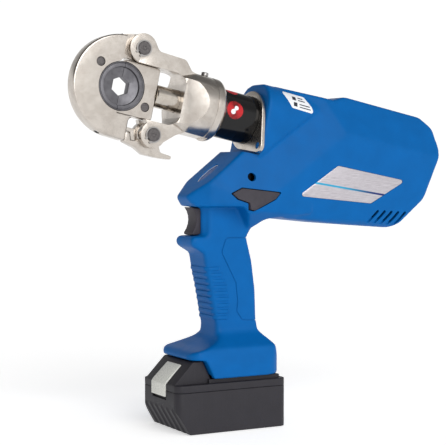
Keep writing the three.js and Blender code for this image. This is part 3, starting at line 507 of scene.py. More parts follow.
class Finish(Tree):
    """A material on a principled shader."""

    def __init__(self, name, base, roughness=0.5, metallic=0.0, **settings):
        self.material = bpy.data.materials.new(name)
        self.material.use_nodes = True
        super().__init__(self.material.node_tree)
        self.output = self.tree.nodes.new("ShaderNodeOutputMaterial")
        self.shader = self.tree.nodes.new("ShaderNodeBsdfPrincipled")
        self.tree.links.new(self.shader.outputs[0], self.output.inputs["Surface"])
        self.set("Base Color", base)
        self.set("Roughness", roughness)
        self.set("Metallic", metallic)
        for socket, value in settings.items():
            self.set(socket.replace("_", " "), value)

    def set(self, name, value):
        """Puts a value or a wire on one of the shader's sockets."""
        self.put(self.shader.inputs[name], value)
        return self

    def place(self):
        """Where a point lies, in metres."""
        return self.node("ShaderNodeTexCoord", output="Object")

    def axes(self):
        """The point's X, Y and Z, in millimetres."""
        return [part * 1000 for part in self.split(self.place())]

    def noise(self, size, detail=2.0, rough=0.5, stretch=None):
        """Noise whose grain is about size millimetres, stretched along the axes if asked."""
        place = self.place()
        if stretch:
            place = self.node("ShaderNodeMapping", inputs={"Vector": place, "Scale": stretch})
        return self.node(
            "ShaderNodeTexNoise",
            inputs={"Vector": place, "Scale": 1 / (size * MM), "Detail": detail, "Roughness": rough},
        )

    def mix(self, factor, first, second):
        """One colour laid over another by a factor."""
        return self.node(
            "ShaderNodeMix",
            {"data_type": "RGBA"},
            {0: factor, 6: first, 7: second},
            output=2,
        )

    def bump(self, height, depth, strength=1.0):
        """Raises the surface by a height from 0 to 1, over depth millimetres."""
        normal = self.node(
            "ShaderNodeBump",
            inputs={"Height": height, "Distance": depth * MM, "Strength": strength},
        )
        return self.set("Normal", normal)


def colour(code, alpha=1.0):
    """A web colour as the linear colour that shaders take."""
    parts = [int(code[index : index + 2], 16) / 255 for index in (1, 3, 5)]
    linear = [part / 12.92 if part <= 0.04045 else ((part + 0.055) / 1.055) ** 2.4 for part in parts]
    return (*linear, alpha)


MATERIALS = {}


def material(name):
    """A finish of this tool, made once."""
    if name not in MATERIALS:
        MATERIALS[name] = globals()[f"make_{name}"]().material
    return MATERIALS[name]


def make_blue_plastic():
    """Satin blue moulded plastic with a very fine grain."""
    blue = bpy.context.scene.crimper_body.blue
    finish = Finish("blue_plastic", colour("#005a9e"), 0.42, Specular_IOR_Level=0.1)
    cloud = finish.noise(18, 3)
    light = tuple(min(1, part * 1.16) for part in blue) + (1,)
    dark = tuple(part * 0.88 for part in blue) + (1,)
    finish.set("Base Color", finish.mix(cloud, dark, light))
    grain = finish.noise(0.55, 2, 0.6)
    smudge = finish.noise(9, 4, 0.6).step(0.45, 0.75)
    finish.set("Roughness", 0.38 + grain * 0.08 + smudge * 0.07)
    return finish.bump(grain, 0.035, 0.35)


def make_charcoal_plastic():
    """Dark grey glass-filled plastic with a spark-eroded grain."""
    finish = Finish("charcoal_plastic", colour("#242227"), 0.55, Specular_IOR_Level=0.35)
    grain = finish.noise(0.5, 3, 0.7)
    cloud = finish.noise(14, 3)
    tone = finish.mix(cloud, colour("#1b191f"), colour("#252329"))
    finish.set("Base Color", finish.mix(grain.step(0.35, 0.8) * 0.3, tone, colour("#3a383e")))
    finish.set("Roughness", 0.46 + grain * 0.2)
    flute = finish.noise(1.6, 2, 0.6, (1, 1, 0.02)).step(0.35, 0.7)
    return finish.bump(grain * 0.3 + flute * 0.7, 0.14, 0.6)


def make_pale_plastic():
    """Light grey plastic with coarse grains in it."""
    finish = Finish("pale_plastic", colour("#c8c8c0"), 0.6)
    grain = finish.noise(0.9, 2, 0.7)
    speck = grain.step(0.5, 0.72)
    finish.set("Base Color", finish.mix(speck, colour("#dadad3"), colour("#a4a5a0")))
    finish.set("Roughness", 0.55 + grain * 0.15)
    return finish.bump(grain, 0.09, 0.7)


def make_dark_plastic():
    """Warm dark grey soft-touch plastic."""
    finish = Finish("dark_plastic", colour("#322e35"), 0.55, Specular_IOR_Level=0.35)
    grain = finish.noise(0.45, 2, 0.6)
    cloud = finish.noise(7, 3)
    finish.set("Base Color", finish.mix(cloud, colour("#2a272e"), colour("#3a363f")))
    finish.set("Roughness", 0.48 + grain * 0.2)
    return finish.bump(grain, 0.05, 0.5)


def make_black_plastic():
    finish = Finish("black_plastic", colour("#18181a"), 0.5)
    grain = finish.noise(0.5, 2)
    finish.set("Roughness", 0.42 + grain * 0.2)
    return finish.bump(grain, 0.04, 0.4)


def metal(name, light, dark, roughness, brush, depth):
    """A metal with two tones, smudges, and fine scratches stretched by brush."""
    finish = Finish(name, light, roughness, 1.0)
    scratch = finish.noise(0.25, 3, 0.7, brush)
    smudge = finish.noise(11, 4, 0.6)
    wear = finish.noise(2.4, 3, 0.6).step(0.52, 0.8)
    finish.set("Base Color", finish.mix(smudge.step(0.3, 0.75) * 0.55 + wear * 0.3, light, dark))
    finish.set("Roughness", roughness - 0.06 + scratch * 0.12 + smudge * 0.1)
    return finish.bump(scratch, depth, 0.35)


def make_nickel():
    """Satin nickel plate, slightly warm."""
    return metal("nickel", colour("#cdc6be"), colour("#a49b92"), 0.2, (1, 0.25, 0.25), 0.012)


def make_steel():
    return metal("steel", colour("#a5a2a0"), colour("#7d7a78"), 0.3, (1, 1, 0.3), 0.012)


def make_chrome():
    """Hard chrome on the ram, polished round."""
    return metal("chrome", colour("#c9c2b8"), colour("#aca296"), 0.14, (0.08, 1, 1), 0.004)


def make_die_steel():
    """Blackened tool steel."""
    return metal("die_steel", colour("#77767a"), colour("#4b4a4e"), 0.4, (1, 1, 1), 0.02)


def make_pin_steel():
    """Mottled steel of the turned pins."""
    finish = Finish("pin_steel", colour("#5d5a5a"), 0.42, 1.0)
    grain = finish.noise(0.9, 4, 0.7)
    finish.set("Base Color", finish.mix(grain.step(0.35, 0.7), colour("#4b4849"), colour("#7b7776")))
    finish.set("Roughness", 0.36 + grain * 0.2)
    return finish.bump(grain, 0.05, 0.5)


def make_black_oxide():
    return metal("black_oxide", colour("#2b2a2c"), colour("#171718"), 0.38, (1, 1, 1), 0.02)


def make_gloss_black():
    """Gloss black paint with faint orange peel."""
    finish = Finish("gloss_black", colour("#0a0a0c"), 0.22, 0.0, Coat_Weight=0.1, Specular_IOR_Level=0.3)
    peel = finish.noise(2.2, 2)
    dust = finish.noise(0.8, 3, 0.7).step(0.6, 0.85)
    finish.set("Base Color", finish.mix(dust * 0.25, colour("#0b0b0c"), colour("#2a2727")))
    finish.set("Roughness", 0.16 + dust * 0.16)
    return finish.bump(peel, 0.03, 0.25)


def clouded(name, base, tones, size, roughness, low, spread=0.15, **settings):
    """A smooth finish whose tone and gloss drift over size millimetres."""
    finish = Finish(name, colour(base), roughness, **settings)
    cloud = finish.noise(size, 3)
    dark, light = tones
    finish.set("Base Color", finish.mix(cloud, colour(dark), colour(light)))
    return finish.set("Roughness", low + cloud * spread)


def make_red_film():
    tones = ("#b0121a", "#c4232a")
    return clouded("red_film", "#b8141c", tones, 4, 0.35, 0.3, Specular_IOR_Level=0.3)


def make_white_film():
    return clouded("white_film", "#e6e8ec", ("#dcdfe4", "#f2f3f5"), 5, 0.4, 0.32)


def make_ink():
    finish = Finish("ink", colour("#1e2430"), 0.5)
    cloud = finish.noise(2, 2)
    finish.set("Base Color", finish.mix(cloud, colour("#191e29"), colour("#2b3342")))
    return finish


def make_brushed_foil():
    """Silver foil brushed along the label, with a line that runs from cyan to navy."""
    finish = Finish("brushed_foil", colour("#b5b0b5"), 0.3, 0.85)
    hair = finish.noise(0.35, 4, 0.75, (0.03, 1, 1))
    x, _, z = finish.axes()
    line = 227.0 - (x - 103) * 0.155
    near = 1 - abs(z - line).step(0.75, 1.15)
    hue = finish.mix(x.step(112, 160), colour("#2b9cc4"), colour("#0b1f66"))
    tone = finish.mix(hair.step(0.3, 0.7), colour("#a8a3a9"), colour("#d3cfd4"))
    finish.set("Base Color", finish.mix(near, tone, hue))
    finish.set("Metallic", 0.85 - near * 0.5)
    finish.set("Roughness", 0.26 + hair * 0.18)
    return finish.bump(hair, 0.02, 0.4)


def make_badge_foil():
    """Bright foil of the badge's rim."""
    tones = ("#b9c0c8", "#e4e7ea")
    return clouded("badge_foil", "#cdd2d8", tones, 1.6, 0.25, 0.2, 0.12, metallic=0.1)


def make_badge_blue():
    finish = Finish("badge_blue", colour("#123f86"), 0.25)
    cloud = finish.noise(2, 3)
    finish.set("Base Color", finish.mix(cloud, colour("#0f3678"), colour("#2459a4")))
    return finish


def make_cast_alloy():
    return metal("cast_alloy", colour("#9c9da0"), colour("#77787b"), 0.45, (1, 1, 1), 0.05)


def make_rubber():
    finish = Finish("rubber", colour("#141414"), 0.75)
    grain = finish.noise(0.7, 3)
    finish.set("Roughness", 0.66 + grain * 0.2)
    return finish.bump(grain, 0.05, 0.5)


def make_brass():
    return metal("brass", colour("#c79d4f"), colour("#93702f"), 0.28, (1, 1, 0.3), 0.01)


def make_board():
    """Green solder mask with darker tracks."""
    finish = Finish("board", colour("#1f5a36"), 0.35)
    track = finish.noise(2.5, 1).step(0.5, 0.53)
    finish.set("Base Color", finish.mix(track, colour("#1f5a36"), colour("#123d24")))
    return finish.bump(track, 0.03, 0.5)


def make_cell_wrap():
    return clouded("cell_wrap", "#2f6f4a", ("#29633f", "#3a8055"), 6, 0.3, 0.25)


# ---- Outlines that more than one piece needs ----------------------------------------------

BARREL_SIDE = [
    (SHELL_FRONT, -36),
    (70, -87.4, 16),
    (137, -80.3),
    (200, -72, 18),
    (228.6, -37, 22),
    (240.2, 14, 18),
    (233.3, 36, 9),
    (218, 44.2, 12),
    (126, 43.4, 7),
    (112, 36.8, 7),
    (52, 36.6, 6),
    (SHELL_FRONT, 28, 5),
]
TRUNK_SIDE = [
    (-36, 216.5, 3),
    (-27.5, 207.3, 1.5),
    (14, 207.3),
    (17, 201),
    (26, 184),
    (39, 195.5, 9),
    (84, 200),
    (84, 262),
    (37, 276),
    (30, 258),
    (20, 260.5),
    (-5, 240.5),
]
GRIP_SIDE = [
    (-15.7, 215),
    (-15.7, 180.3),
    (-31, 180.3, 1.5),
    (-34, 174.5, 1.5),
    (-31, 170.3, 2.5),
    (-19.5, 163.5, 7),
    (-16.7, 147),
    (-13, 131),
    (-9.4, 111),
    (-6.5, 96, 5),
    (-8, 82),
    (44, 82),
    (38.5, 89, 5),
    (36.2, 102),
    (35.5, 128),
    (31.7, 156),
    (26, 178),
    (36, 195),
    (36, 215),
]
FOOT_SIDE = [
    (-42, 66.7, 2),
    (-27, 66.7),
    (-19, FOOT_FLOOR),
    (54, FOOT_FLOOR, 2),
    (53.4, 66, 9),
    (48, 78, 12),
    (36, 92),
    (-3, 92),
    (-9.5, 83, 8),
    (-24, 77.5, 10),
    (-38, 74, 5),
    (-42, 70.5, 3),
]
SIDE_LABEL = [(68.5, 217, 2), (151.4, 208.8, 3), (193, 231, 2), (113.5, 245.8, 3)]
LABEL_SEAT = 39
RELEASE_BUTTON = [
    (1.8, 219.8, 1),
    (7.1, 214.7),
    (17.1, 211, 1),
    (17.4, 204.6, 1),
    (21.7, 203.8, 1),
    (44, 214.3),
    (49.6, 220.3, 1),
    (12.2, 224.8, 1),
]


def inset(corners, wall):
    """An outline moved inwards by a wall's thickness, for outlines drawn anticlockwise."""
    moved = []
    count = len(corners)
    for index, corner in enumerate(corners):
        here = Vector(corner[:2])
        before = (here - Vector(corners[index - 1][:2])).normalized()
        after = (Vector(corners[(index + 1) % count][:2]) - here).normalized()
        left = Vector((-before.y, before.x)) + Vector((-after.y, after.x))
        spread = left.length_squared / 2
        shifted_corner = here + left * (wall / max(spread, 0.4))
        moved.append((shifted_corner.x, shifted_corner.y, *corner[2:]))
    return moved


def barrel_section(wall):
    """The barrel from the front, in its own frame."""
    half = BARREL_HALF - wall
    return rounded(
        [
            (-half + 8, -100),
            (half - 8, -100),
            (half, -62, 10),
            (half, 6, 16),
            (half - 20, 50 - wall, 12),
            (-half + 20, 50 - wall, 12),
            (-half, 6, 16),
            (-half, -62, 10),
        ]
    )


def foot_section(wall):
    """The foot from the front, with the root of the grip."""
    half = FOOT_HALF - wall
    return rounded(
        [
            (-half, FOOT_FLOOR - 1),
            (half, FOOT_FLOOR - 1),
            (half, 62, 6),
            (half - 2.5, 76.5, 4),
            (GRIP_HALF + 2.5 - wall, 88 - wall, 6),
            (GRIP_HALF - wall, 92),
            (-GRIP_HALF + wall, 92),
            (-GRIP_HALF - 2.5 + wall, 88 - wall, 6),
            (-half + 2.5, 76.5, 4),
            (-half, 62, 6),
        ]
    )


def slab(name, corners, half, steps=8):
    """A plate of a rounded outline, centred across the tool."""
    return plate(name, rounded(corners, steps), -half, half)


def heaped(name, *pieces):
    """Several closed pieces as one mesh, still overlapping."""
    deselect()
    for piece in pieces:
        piece.select_set(True)
    bpy.context.view_layer.objects.active = pieces[0]
    bpy.ops.object.join()
    return named(name)


# ---- Body ---------------------------------------------------------------------------------


class BodySettings(bpy.types.PropertyGroup):
    """The housing's colour and how its fillets are made."""

    blue: bpy.props.FloatVectorProperty(
        name="Blue",
        description="Colour of the housing",
        subtype="COLOR",
        size=3,
        min=0,
        max=1,
        default=colour("#005a9e")[:3],
    )
    voxel: bpy.props.FloatProperty(
        name="Grid",
        description="Grid that the housing's fillets are made on, in millimetres",
        default=1.15,
        min=0.6,
        max=4,
    )
    fillet: bpy.props.IntProperty(
        name="Fillet",
        description="How often the housing's edges are smoothed",
        default=24,
        min=0,
        max=60,
    )


class BatterySettings(bpy.types.PropertyGroup):
    """Sizes of the battery's trim."""

    flute: bpy.props.FloatProperty(
        name="Flute",
        description="Radius of the flutes on the tub's nose, in millimetres",
        default=5,
        min=2,
        max=5.6,
    )


# The flank's crease in the barrel frame: the flat side panel starts behind it, and ahead of it
# a band slopes inwards up to the hood. Another slope runs under the trunk, in the tool's frame.
CREASE_LOW = Vector((64, -60.2))
CREASE_HIGH = Vector((116.2, -4.7))
BAND_SLOPE = 0.35
BAND_WIDTH = 34.5
UNDER_REAR = Vector((84, 199))
UNDER_FRONT = Vector((8, 205.5))
UNDER_SLOPE = 1.15
ARCH_HALF = 31
ARCH_TOP = 36.6
ARCH_CORNER = 24
ARCH_REAR = 106


def flank_wedge(side, low, high, slope, lift):
    """What a flank loses where it slopes inwards to the left of the line from low to high."""
    along = (high - low).normalized()
    ahead = Vector((-along.y, along.x))
    run, reach = 170, 100
    deselect()
    bpy.ops.mesh.primitive_cube_add(size=1)
    wedge = named("flank_wedge")
    for vertex in wedge.data.vertices:
        spot = high + along * run if vertex.co.x > 0 else low - along * run
        far = reach if vertex.co.z > 0 else 0
        spot = spot + ahead * far
        y = 90 if vertex.co.y > 0 else BARREL_HALF + lift - slope * far
        vertex.co = Vector((spot.x, side * y, spot.y)) * MM
    return outward(wedge)


def band_wedge(side, lift=0):
    """What the band ahead of the crease slopes away."""
    return tilted(flank_wedge(side, CREASE_LOW, CREASE_HIGH, BAND_SLOPE, lift))


def under_wedge(side, lift=0):
    """What the slope under the trunk takes away."""
    return flank_wedge(side, UNDER_REAR, UNDER_FRONT, UNDER_SLOPE, lift)


def arch_form(wall):
    """The hood over the cylinder, which ends on a line parallel to the crease."""
    half, top = ARCH_HALF - wall, ARCH_TOP - wall
    section = [(-half, -60 + wall), (half, -60 + wall), (half, top, ARCH_CORNER), (-half, top, ARCH_CORNER)]
    arch = plate("arch", rounded(section, 12), SHELL_FRONT + wall, ARCH_REAR - wall, "x")
    along = (CREASE_HIGH - CREASE_LOW).normalized()
    ahead = Vector((-along.y, along.x))
    near = CREASE_LOW + ahead * (BAND_WIDTH + wall)
    corners = [
        near - along * 60,
        near + along * 160,
        near + along * 160 + ahead * 90,
        near - along * 60 + ahead * 90,
    ]
    return tilted(common(arch, plate("arch_room", corners, -60, 60)))


def shell_form(wall):
    """All of the housing's forms as one solid: the outside, or the space inside the walls."""
    barrel = slab("barrel_form", inset(BARREL_SIDE, wall), BARREL_HALF)
    barrel = common(barrel, plate("barrel_section", barrel_section(wall), 0, 300, "x"))
    grip = inset(GRIP_SIDE, wall)
    if wall:
        grip = slab("grip_form", grip, GRIP_HALF - wall)
    else:
        barrel = bevelled(barrel, 4, 4, 35)
        grip = bevelled(slab("grip_form", [corner[:2] for corner in grip], GRIP_HALF), 8.5, 6, 50)
    trunk = slab("trunk_form", inset(TRUNK_SIDE, wall), BARREL_HALF - wall)
    form = joined(tilted(barrel), common(trunk, trunk_plan(wall)))
    for side in (-1, 1):
        form = cut(form, band_wedge(side, -wall), under_wedge(side, -wall))
    foot = slab("foot_form", inset(FOOT_SIDE, wall), 50)
    foot = common(foot, plate("foot_section", foot_section(wall), -60, 60, "x"), foot_plan(wall))
    pieces = [form, arch_form(wall), grip, foot]
    if not wall:
        cheek = rounded([(-19.6, -13.5, 3), (0, -13.5), (0, 13.5), (-19.6, 13.5, 3)])
        pieces.append(plate("trigger_cheek", cheek, 177, 212, "z"))
    return joined(*pieces) if wall else heaped("housing", *pieces)


def trunk_plan(wall):
    """The trunk from above: a blunt nose that widens towards the barrel."""
    front, nose, shoulder, rear = -37 + wall, 9 - wall, 25 - 2 * wall, 60 - 2 * wall
    corners = [
        (front, -nose, 7),
        (-17, -shoulder, 12),
        (90, -rear),
        (90, rear),
        (-17, shoulder, 12),
        (front, nose, 7),
    ]
    return plate("trunk_plan", rounded(corners), 150, 300, "z")


def foot_plan(wall):
    """The foot from above."""
    front, rear, half = -42 + wall, 54 - wall, FOOT_HALF - wall
    corners = [(front, -half, 16), (rear, -half, 16), (rear, half, 16), (front, half, 16)]
    return plate("foot_plan", rounded(corners), 0, 120, "z")


# Where each housing screw stands, seen from the side, and how far out the face over it lies.
SCREW_SPOTS = [(23, 235, TRUNK_HALF), (122, 223, BARREL_HALF), (163, 226, BARREL_HALF)]


class CRIMPER_OT_housing(bpy.types.Operator):
    """Models the two halves of the blue housing, with its openings, and the white label on it"""

    bl_idname = "crimper.housing"
    bl_label = "Housing"

    def execute(self, context):
        settings = context.scene.crimper_body
        shell = melted(shell_form(0), settings.voxel, 0.5, settings.fillet)
        label_film(shell)
        shell = cut(shell, grip_groove(shell))
        shell = joined(shell, *finger_ribs())
        cutters = [
            tilted(rod("bore", 21.6, 20, 74, "x", steps=96)),
            tilted(box("front_cut", (-40, -60, -33), (SHELL_FRONT, 60, 80))),
            box("trigger_opening", (-20, -9.5, 180.4), (-8, 9.5, 207.1)),
            box("foot_opening", (-21, -32, FOOT_FLOOR - 2), (50, 32, FOOT_FLOOR + 3.5)),
            box("tower_opening", (-44, -20.5, FOOT_FLOOR - 1), (-10, 20.5, 59.5)),
        ]
        for side in (-1, 1):
            faces = sorted((side * 60, side * LABEL_SEAT))
            cutters.append(plate("label_seat", rounded(SIDE_LABEL), *faces))
        cutters.append(plate("button_seat", rounded(inset(RELEASE_BUTTON, -0.55)), -60, -TRUNK_HALF + 9))
        cutters.append(badge_solid("badge_seat", 0.4, 1.4, 6))
        for x, z, face in SCREW_SPOTS:
            cutters.append(rod("screw_hole", 4, -60, -face + 7.6, centre=(x, z), steps=48))
            cutters.append(rod("boss_hole", 2.1, face - 9, 60, centre=(x, z), steps=32))
        cutters.extend(vent_slots())
        shell = cut(shell, *cutters)
        shell = cut(shell, shell_form(WALL))
        for side, name in ((-1, "left"), (1, "right")):
            half = copied(shell, f"housing_{name}_shell")
            low, high = sorted((side * 60, side * 0.02))
            half = common(half, box("half", (-200, low, 0), (300, high, 400)))
            finished(half, material("blue_plastic"), "tool_body", "blue_housing", f"housing_{name}")
        bpy.data.objects.remove(shell, do_unlink=True)
        return {"FINISHED"}


BADGE_LONG = 13
BADGE_SHORT = 6.5
BADGE_SPOT = (-6.5, 238.2)


def badge_solid(name, gap, depth, height):
    """An oval plate on the trunk's front slope, depth into the surface."""
    low, high = TRUNK_SIDE[0], TRUNK_SIDE[-1]
    slope = math.degrees(math.atan2(high[1] - low[1], high[0] - low[0]))
    long, short = BADGE_LONG + gap, BADGE_SHORT + gap
    outline = [(along * long, across * short) for along, across in arc((0, 0), 1, 0, 355, 71)]
    solid = swung(plate(name, outline, -depth - gap, height, "z"), -slope)
    return shifted(solid, x=BADGE_SPOT[0], z=BADGE_SPOT[1])


VENT_COUNT = 5
VENT_LOW = Vector((148.5, 190.1))
VENT_HIGH = Vector((160.5, 202.3))
VENT_LOW_STEP = Vector((7.6, -0.8))
VENT_HIGH_STEP = Vector((8.1, -0.5))
VENT_HALF = 1.3


def vent_slots():
    """Slanting air slots low on each side of the barrel."""
    slots = []
    for index in range(VENT_COUNT):
        low = VENT_LOW + VENT_LOW_STEP * index
        high = VENT_HIGH + VENT_HIGH_STEP * index
        across = (high - low).normalized() * VENT_HALF
        across = Vector((across.y, -across.x))
        corners = [(*(low + across), 1), (*(high + across), 1), (*(high - across), 1), (*(low - across), 1)]
        for faces in ((-60, -36), (36, 60)):
            slots.append(plate("vent", rounded(corners, 4), *faces))
    return slots


def swollen(piece, depth):
    """A copy grown outwards along its normals, or shrunk."""
    twin = pick(copied(piece, "swollen"))
    step = twin.modifiers.new("depth", "DISPLACE")
    step.strength = depth * MM
    step.mid_level = 0
    bpy.ops.object.modifier_apply(modifier=step.name)
    return twin


def film(shell, prism, low, high):
    """What a prism covers of the shell's surface, from low to high above it."""
    return cut(common(prism, swollen(shell, high)), swollen(shell, low))


# The shoulder label in the barrel frame, and the blocks of plain ink on it, each from its
# front and rear to its bottom and top.
SHOULDER_LABEL = [(54.3, 32.7, 2), (65.4, 18, 2), (89.7, 17.4, 2), (87.7, 23.2, 2), (79.9, 32, 2)]
INK_BLOCKS = [
    (67, 71, 20.3, 24.2),
    (73.5, 86, 20, 21),
    (73.5, 85, 22.6, 23.6),
    (66, 70, 26.2, 29.6),
    (72.5, 80, 26.4, 27.4),
    (72.5, 78, 28.8, 29.8),
]


def label_film(shell):
    """The white label on the arch's left shoulder, with plain dark marks."""
    prism = tilted(plate("warning_label", rounded(SHOULDER_LABEL), -60, -4))
    label = film(shell, prism, -0.3, 0.12)
    finished(label, material("white_film"), "tool_body", "label_silver")
    marks = [
        box("label_marks", (front, -60, bottom), (rear, -4, top))
        for front, rear, bottom, top in INK_BLOCKS
    ]
    marks = film(shell, tilted(joined(*marks)), -0.1, 0.2)
    finished(marks, material("ink"), "tool_body", "label_silver")


GRIP_PANEL = [
    (60, 178),
    (20, 177.9, 6),
    (2.9, 178.3, 4),
    (-2.2, 165, 6),
    (13.2, 136, 8),
    (15.2, 117.9, 6),
    (14, 108.9, 4),
    (20.1, 100.3, 4),
    (28.7, 99.9, 4),
    (60, 98),
]


GROOVE_HALF = 0.55
GROOVE_DEPTH = 0.6


def grip_groove(shell):
    """The line between the grip's two plastics."""
    line = plate("panel_line", rounded(inset(GRIP_PANEL, -GROOVE_HALF)), -60, 60)
    line = cut(line, plate("panel", rounded(inset(GRIP_PANEL, GROOVE_HALF)), -61, 61))
    return cut(line, swollen(shell, -GROOVE_DEPTH), box("rear", (58, -70, 0), (70, 70, 300)))


RIB_COUNT = 9
RIB_FOOT = 103.5
RIB_PITCH = 5.75
RIB_HALF = 1.9
GRIP_LEAN = 0.197


def finger_ribs():
    """Ridges round the front of the grip, which reach furthest back in the middle."""
    ribs = []
    half = GRIP_HALF + 0.9
    for index in range(RIB_COUNT):
        z = RIB_FOOT + index * RIB_PITCH
        front = -7.6 - (z - RIB_FOOT) * GRIP_LEAN - 1.5
        reach = 4 + 7 * math.sin(math.pi * (index + 0.8) / (RIB_COUNT + 0.6))
        rear = front + reach + 8
        corners = [(rear, -half, 1), (rear, half, 1), (front, half, 8.2), (front, -half, 8.2)]
        rib = plate("finger_rib", rounded(corners, 8), z - RIB_HALF, z + RIB_HALF, "z")
        ribs.append(bevelled(rib, 1.4, 4, 50))
    return ribs


class CRIMPER_OT_labels(bpy.types.Operator):
    """Models the two side labels and the oval badge"""

    bl_idname = "crimper.labels"
    bl_label = "Labels"

    def execute(self, context):
        outline = rounded(inset(SIDE_LABEL, GAP))
        for name, side in (("left", -1), ("right", 1)):
            faces = sorted((side * (LABEL_SEAT + 0.1), side * (LABEL_SEAT + 0.9)))
            label = bevelled(plate(f"side_label_{name}_foil", outline, *faces), 0.15, 2)
            finished(label, material("brushed_foil"), "tool_body", "label_silver", f"side_label_{name}")
        rim = cut(badge_solid("badge_rim", 0, 1.4, 0.25), badge_solid("badge_core", -1.2, 3, 3))
        finished(rim, material("badge_foil"), "tool_body", "label_silver", "nameplate")
        field = badge_solid("badge_field", -1.3, 1.3, 0.1)
        finished(field, material("badge_blue"), "tool_body", "label_silver")
        return {"FINISHED"}


# ---- Sleeve and flange --------------------------------------------------------------------


def disc_on_sleeve(name, s, angle, radius, lift):
    """A round sticker wrapped on the sleeve, its middle at an angle from the left side."""
    deselect()
    bpy.ops.mesh.primitive_circle_add(vertices=64, radius=radius * MM, fill_type="TRIFAN")
    disc = named(name)
    bpy.ops.object.mode_set(mode="EDIT")
    bpy.ops.mesh.select_all(action="SELECT")
    bpy.ops.mesh.subdivide(number_cuts=6)
    bpy.ops.object.mode_set(mode="OBJECT")
    return wrapped(disc, s, angle, lift)


def wrapped(flat, s, angle, lift, thickness=0.12):
    """Bends a flat shape in the XY plane round the sleeve and gives it a thickness."""
    around = SLEEVE_RADIUS + lift
    for vertex in flat.data.vertices:
        turn = math.radians(angle) + vertex.co.y / MM / around
        vertex.co = Vector((s + vertex.co.x / MM, -around * math.cos(turn), around * math.sin(turn))) * MM
    pick(flat)
    step = flat.modifiers.new("film", "SOLIDIFY")
    step.thickness = thickness * MM
    step.offset = 0
    bpy.ops.object.modifier_apply(modifier=step.name)
    return tilted(outward(flat))


# Stickers and the white marks on the first of them: where along the axis, at what angle in
# degrees up from the left, and how large a radius.
STICKERS = [(9.6, 8, 8.6), (9.8, 69, 6.2)]
STICKER_MARKS = [(7.9, 3, 2.4), (10.9, 13, 2.1), (9.3, 8, 1.3)]
FLANGE_RADIUS = 28.5
FLANGE_EAR = (-29.8, -25)
FLANGE_EAR_RADIUS = 6.8


class CRIMPER_OT_sleeve(bpy.types.Operator):
    """Models the black sleeve with its stickers, and the flange plate with the boss in its ear"""

    bl_idname = "crimper.sleeve"
    bl_label = "Sleeve and flange"

    def execute(self, context):
        r, end = SLEEVE_RADIUS, SLEEVE_LENGTH
        mouth = [(0.3, r - 1.7), (0.3, r - 1), (0.5, r - 0.5), (1, r - 0.15), (1.6, r)]
        sleeve = turned("sleeve_tube", mouth + [(end, r), (end, r - 1.7)], 128)
        sleeve = tilted(sleeve)
        finished(sleeve, material("gloss_black"), "tool_body", "black_sleeve", "cylinder_sleeve")
        for index, (s, angle, radius) in enumerate(STICKERS):
            sticker = disc_on_sleeve(f"sticker_{index + 1}", s, angle, radius, -0.06)
            finished(sticker, material("red_film"), "tool_body", "black_sleeve")
        for index, (s, angle, size) in enumerate(STICKER_MARKS):
            mark = disc_on_sleeve(f"sticker_mark_{index + 1}", s, angle, size, 0.05)
            finished(mark, material("white_film"), "tool_body", "black_sleeve")
        flange = plate("flange_outline", flange_outline(), FLANGE_FRONT, FLANGE_REAR, "x")
        flange = bevelled(flange, 0.7, 3)
        bore = rod("flange_bore", SLEEVE_RADIUS + GAP, 0, 80, "x", steps=96)
        hole = rod("flange_hole", 3.3, 0, 80, "x", FLANGE_EAR, 48)
        flange = tilted(cut(flange, bore, hole))
        flange.name = "flange"
        finished(flange, material("nickel"), "tool_body", "nickel_steel", "flange_plate")
        boss = tilted(rod("flange_boss", 3.2, FLANGE_FRONT + 1, FLANGE_REAR + 2, "x", FLANGE_EAR, 48))
        finished(boss, material("blue_plastic"), "tool_body", "blue_housing")
        return {"FINISHED"}


def flange_outline():
    """A round outline with one ear, whose sides run out along tangents."""
    toward = math.degrees(math.atan2(FLANGE_EAR[1], FLANGE_EAR[0]))
    spread = math.degrees(math.acos((FLANGE_RADIUS - FLANGE_EAR_RADIUS) / math.hypot(*FLANGE_EAR)))
    body = arc((0, 0), FLANGE_RADIUS, toward + spread, toward - spread + 360, 80)
    return body + arc(FLANGE_EAR, FLANGE_EAR_RADIUS, toward - spread, toward + spread, 20)


# ---- Head ---------------------------------------------------------------------------------


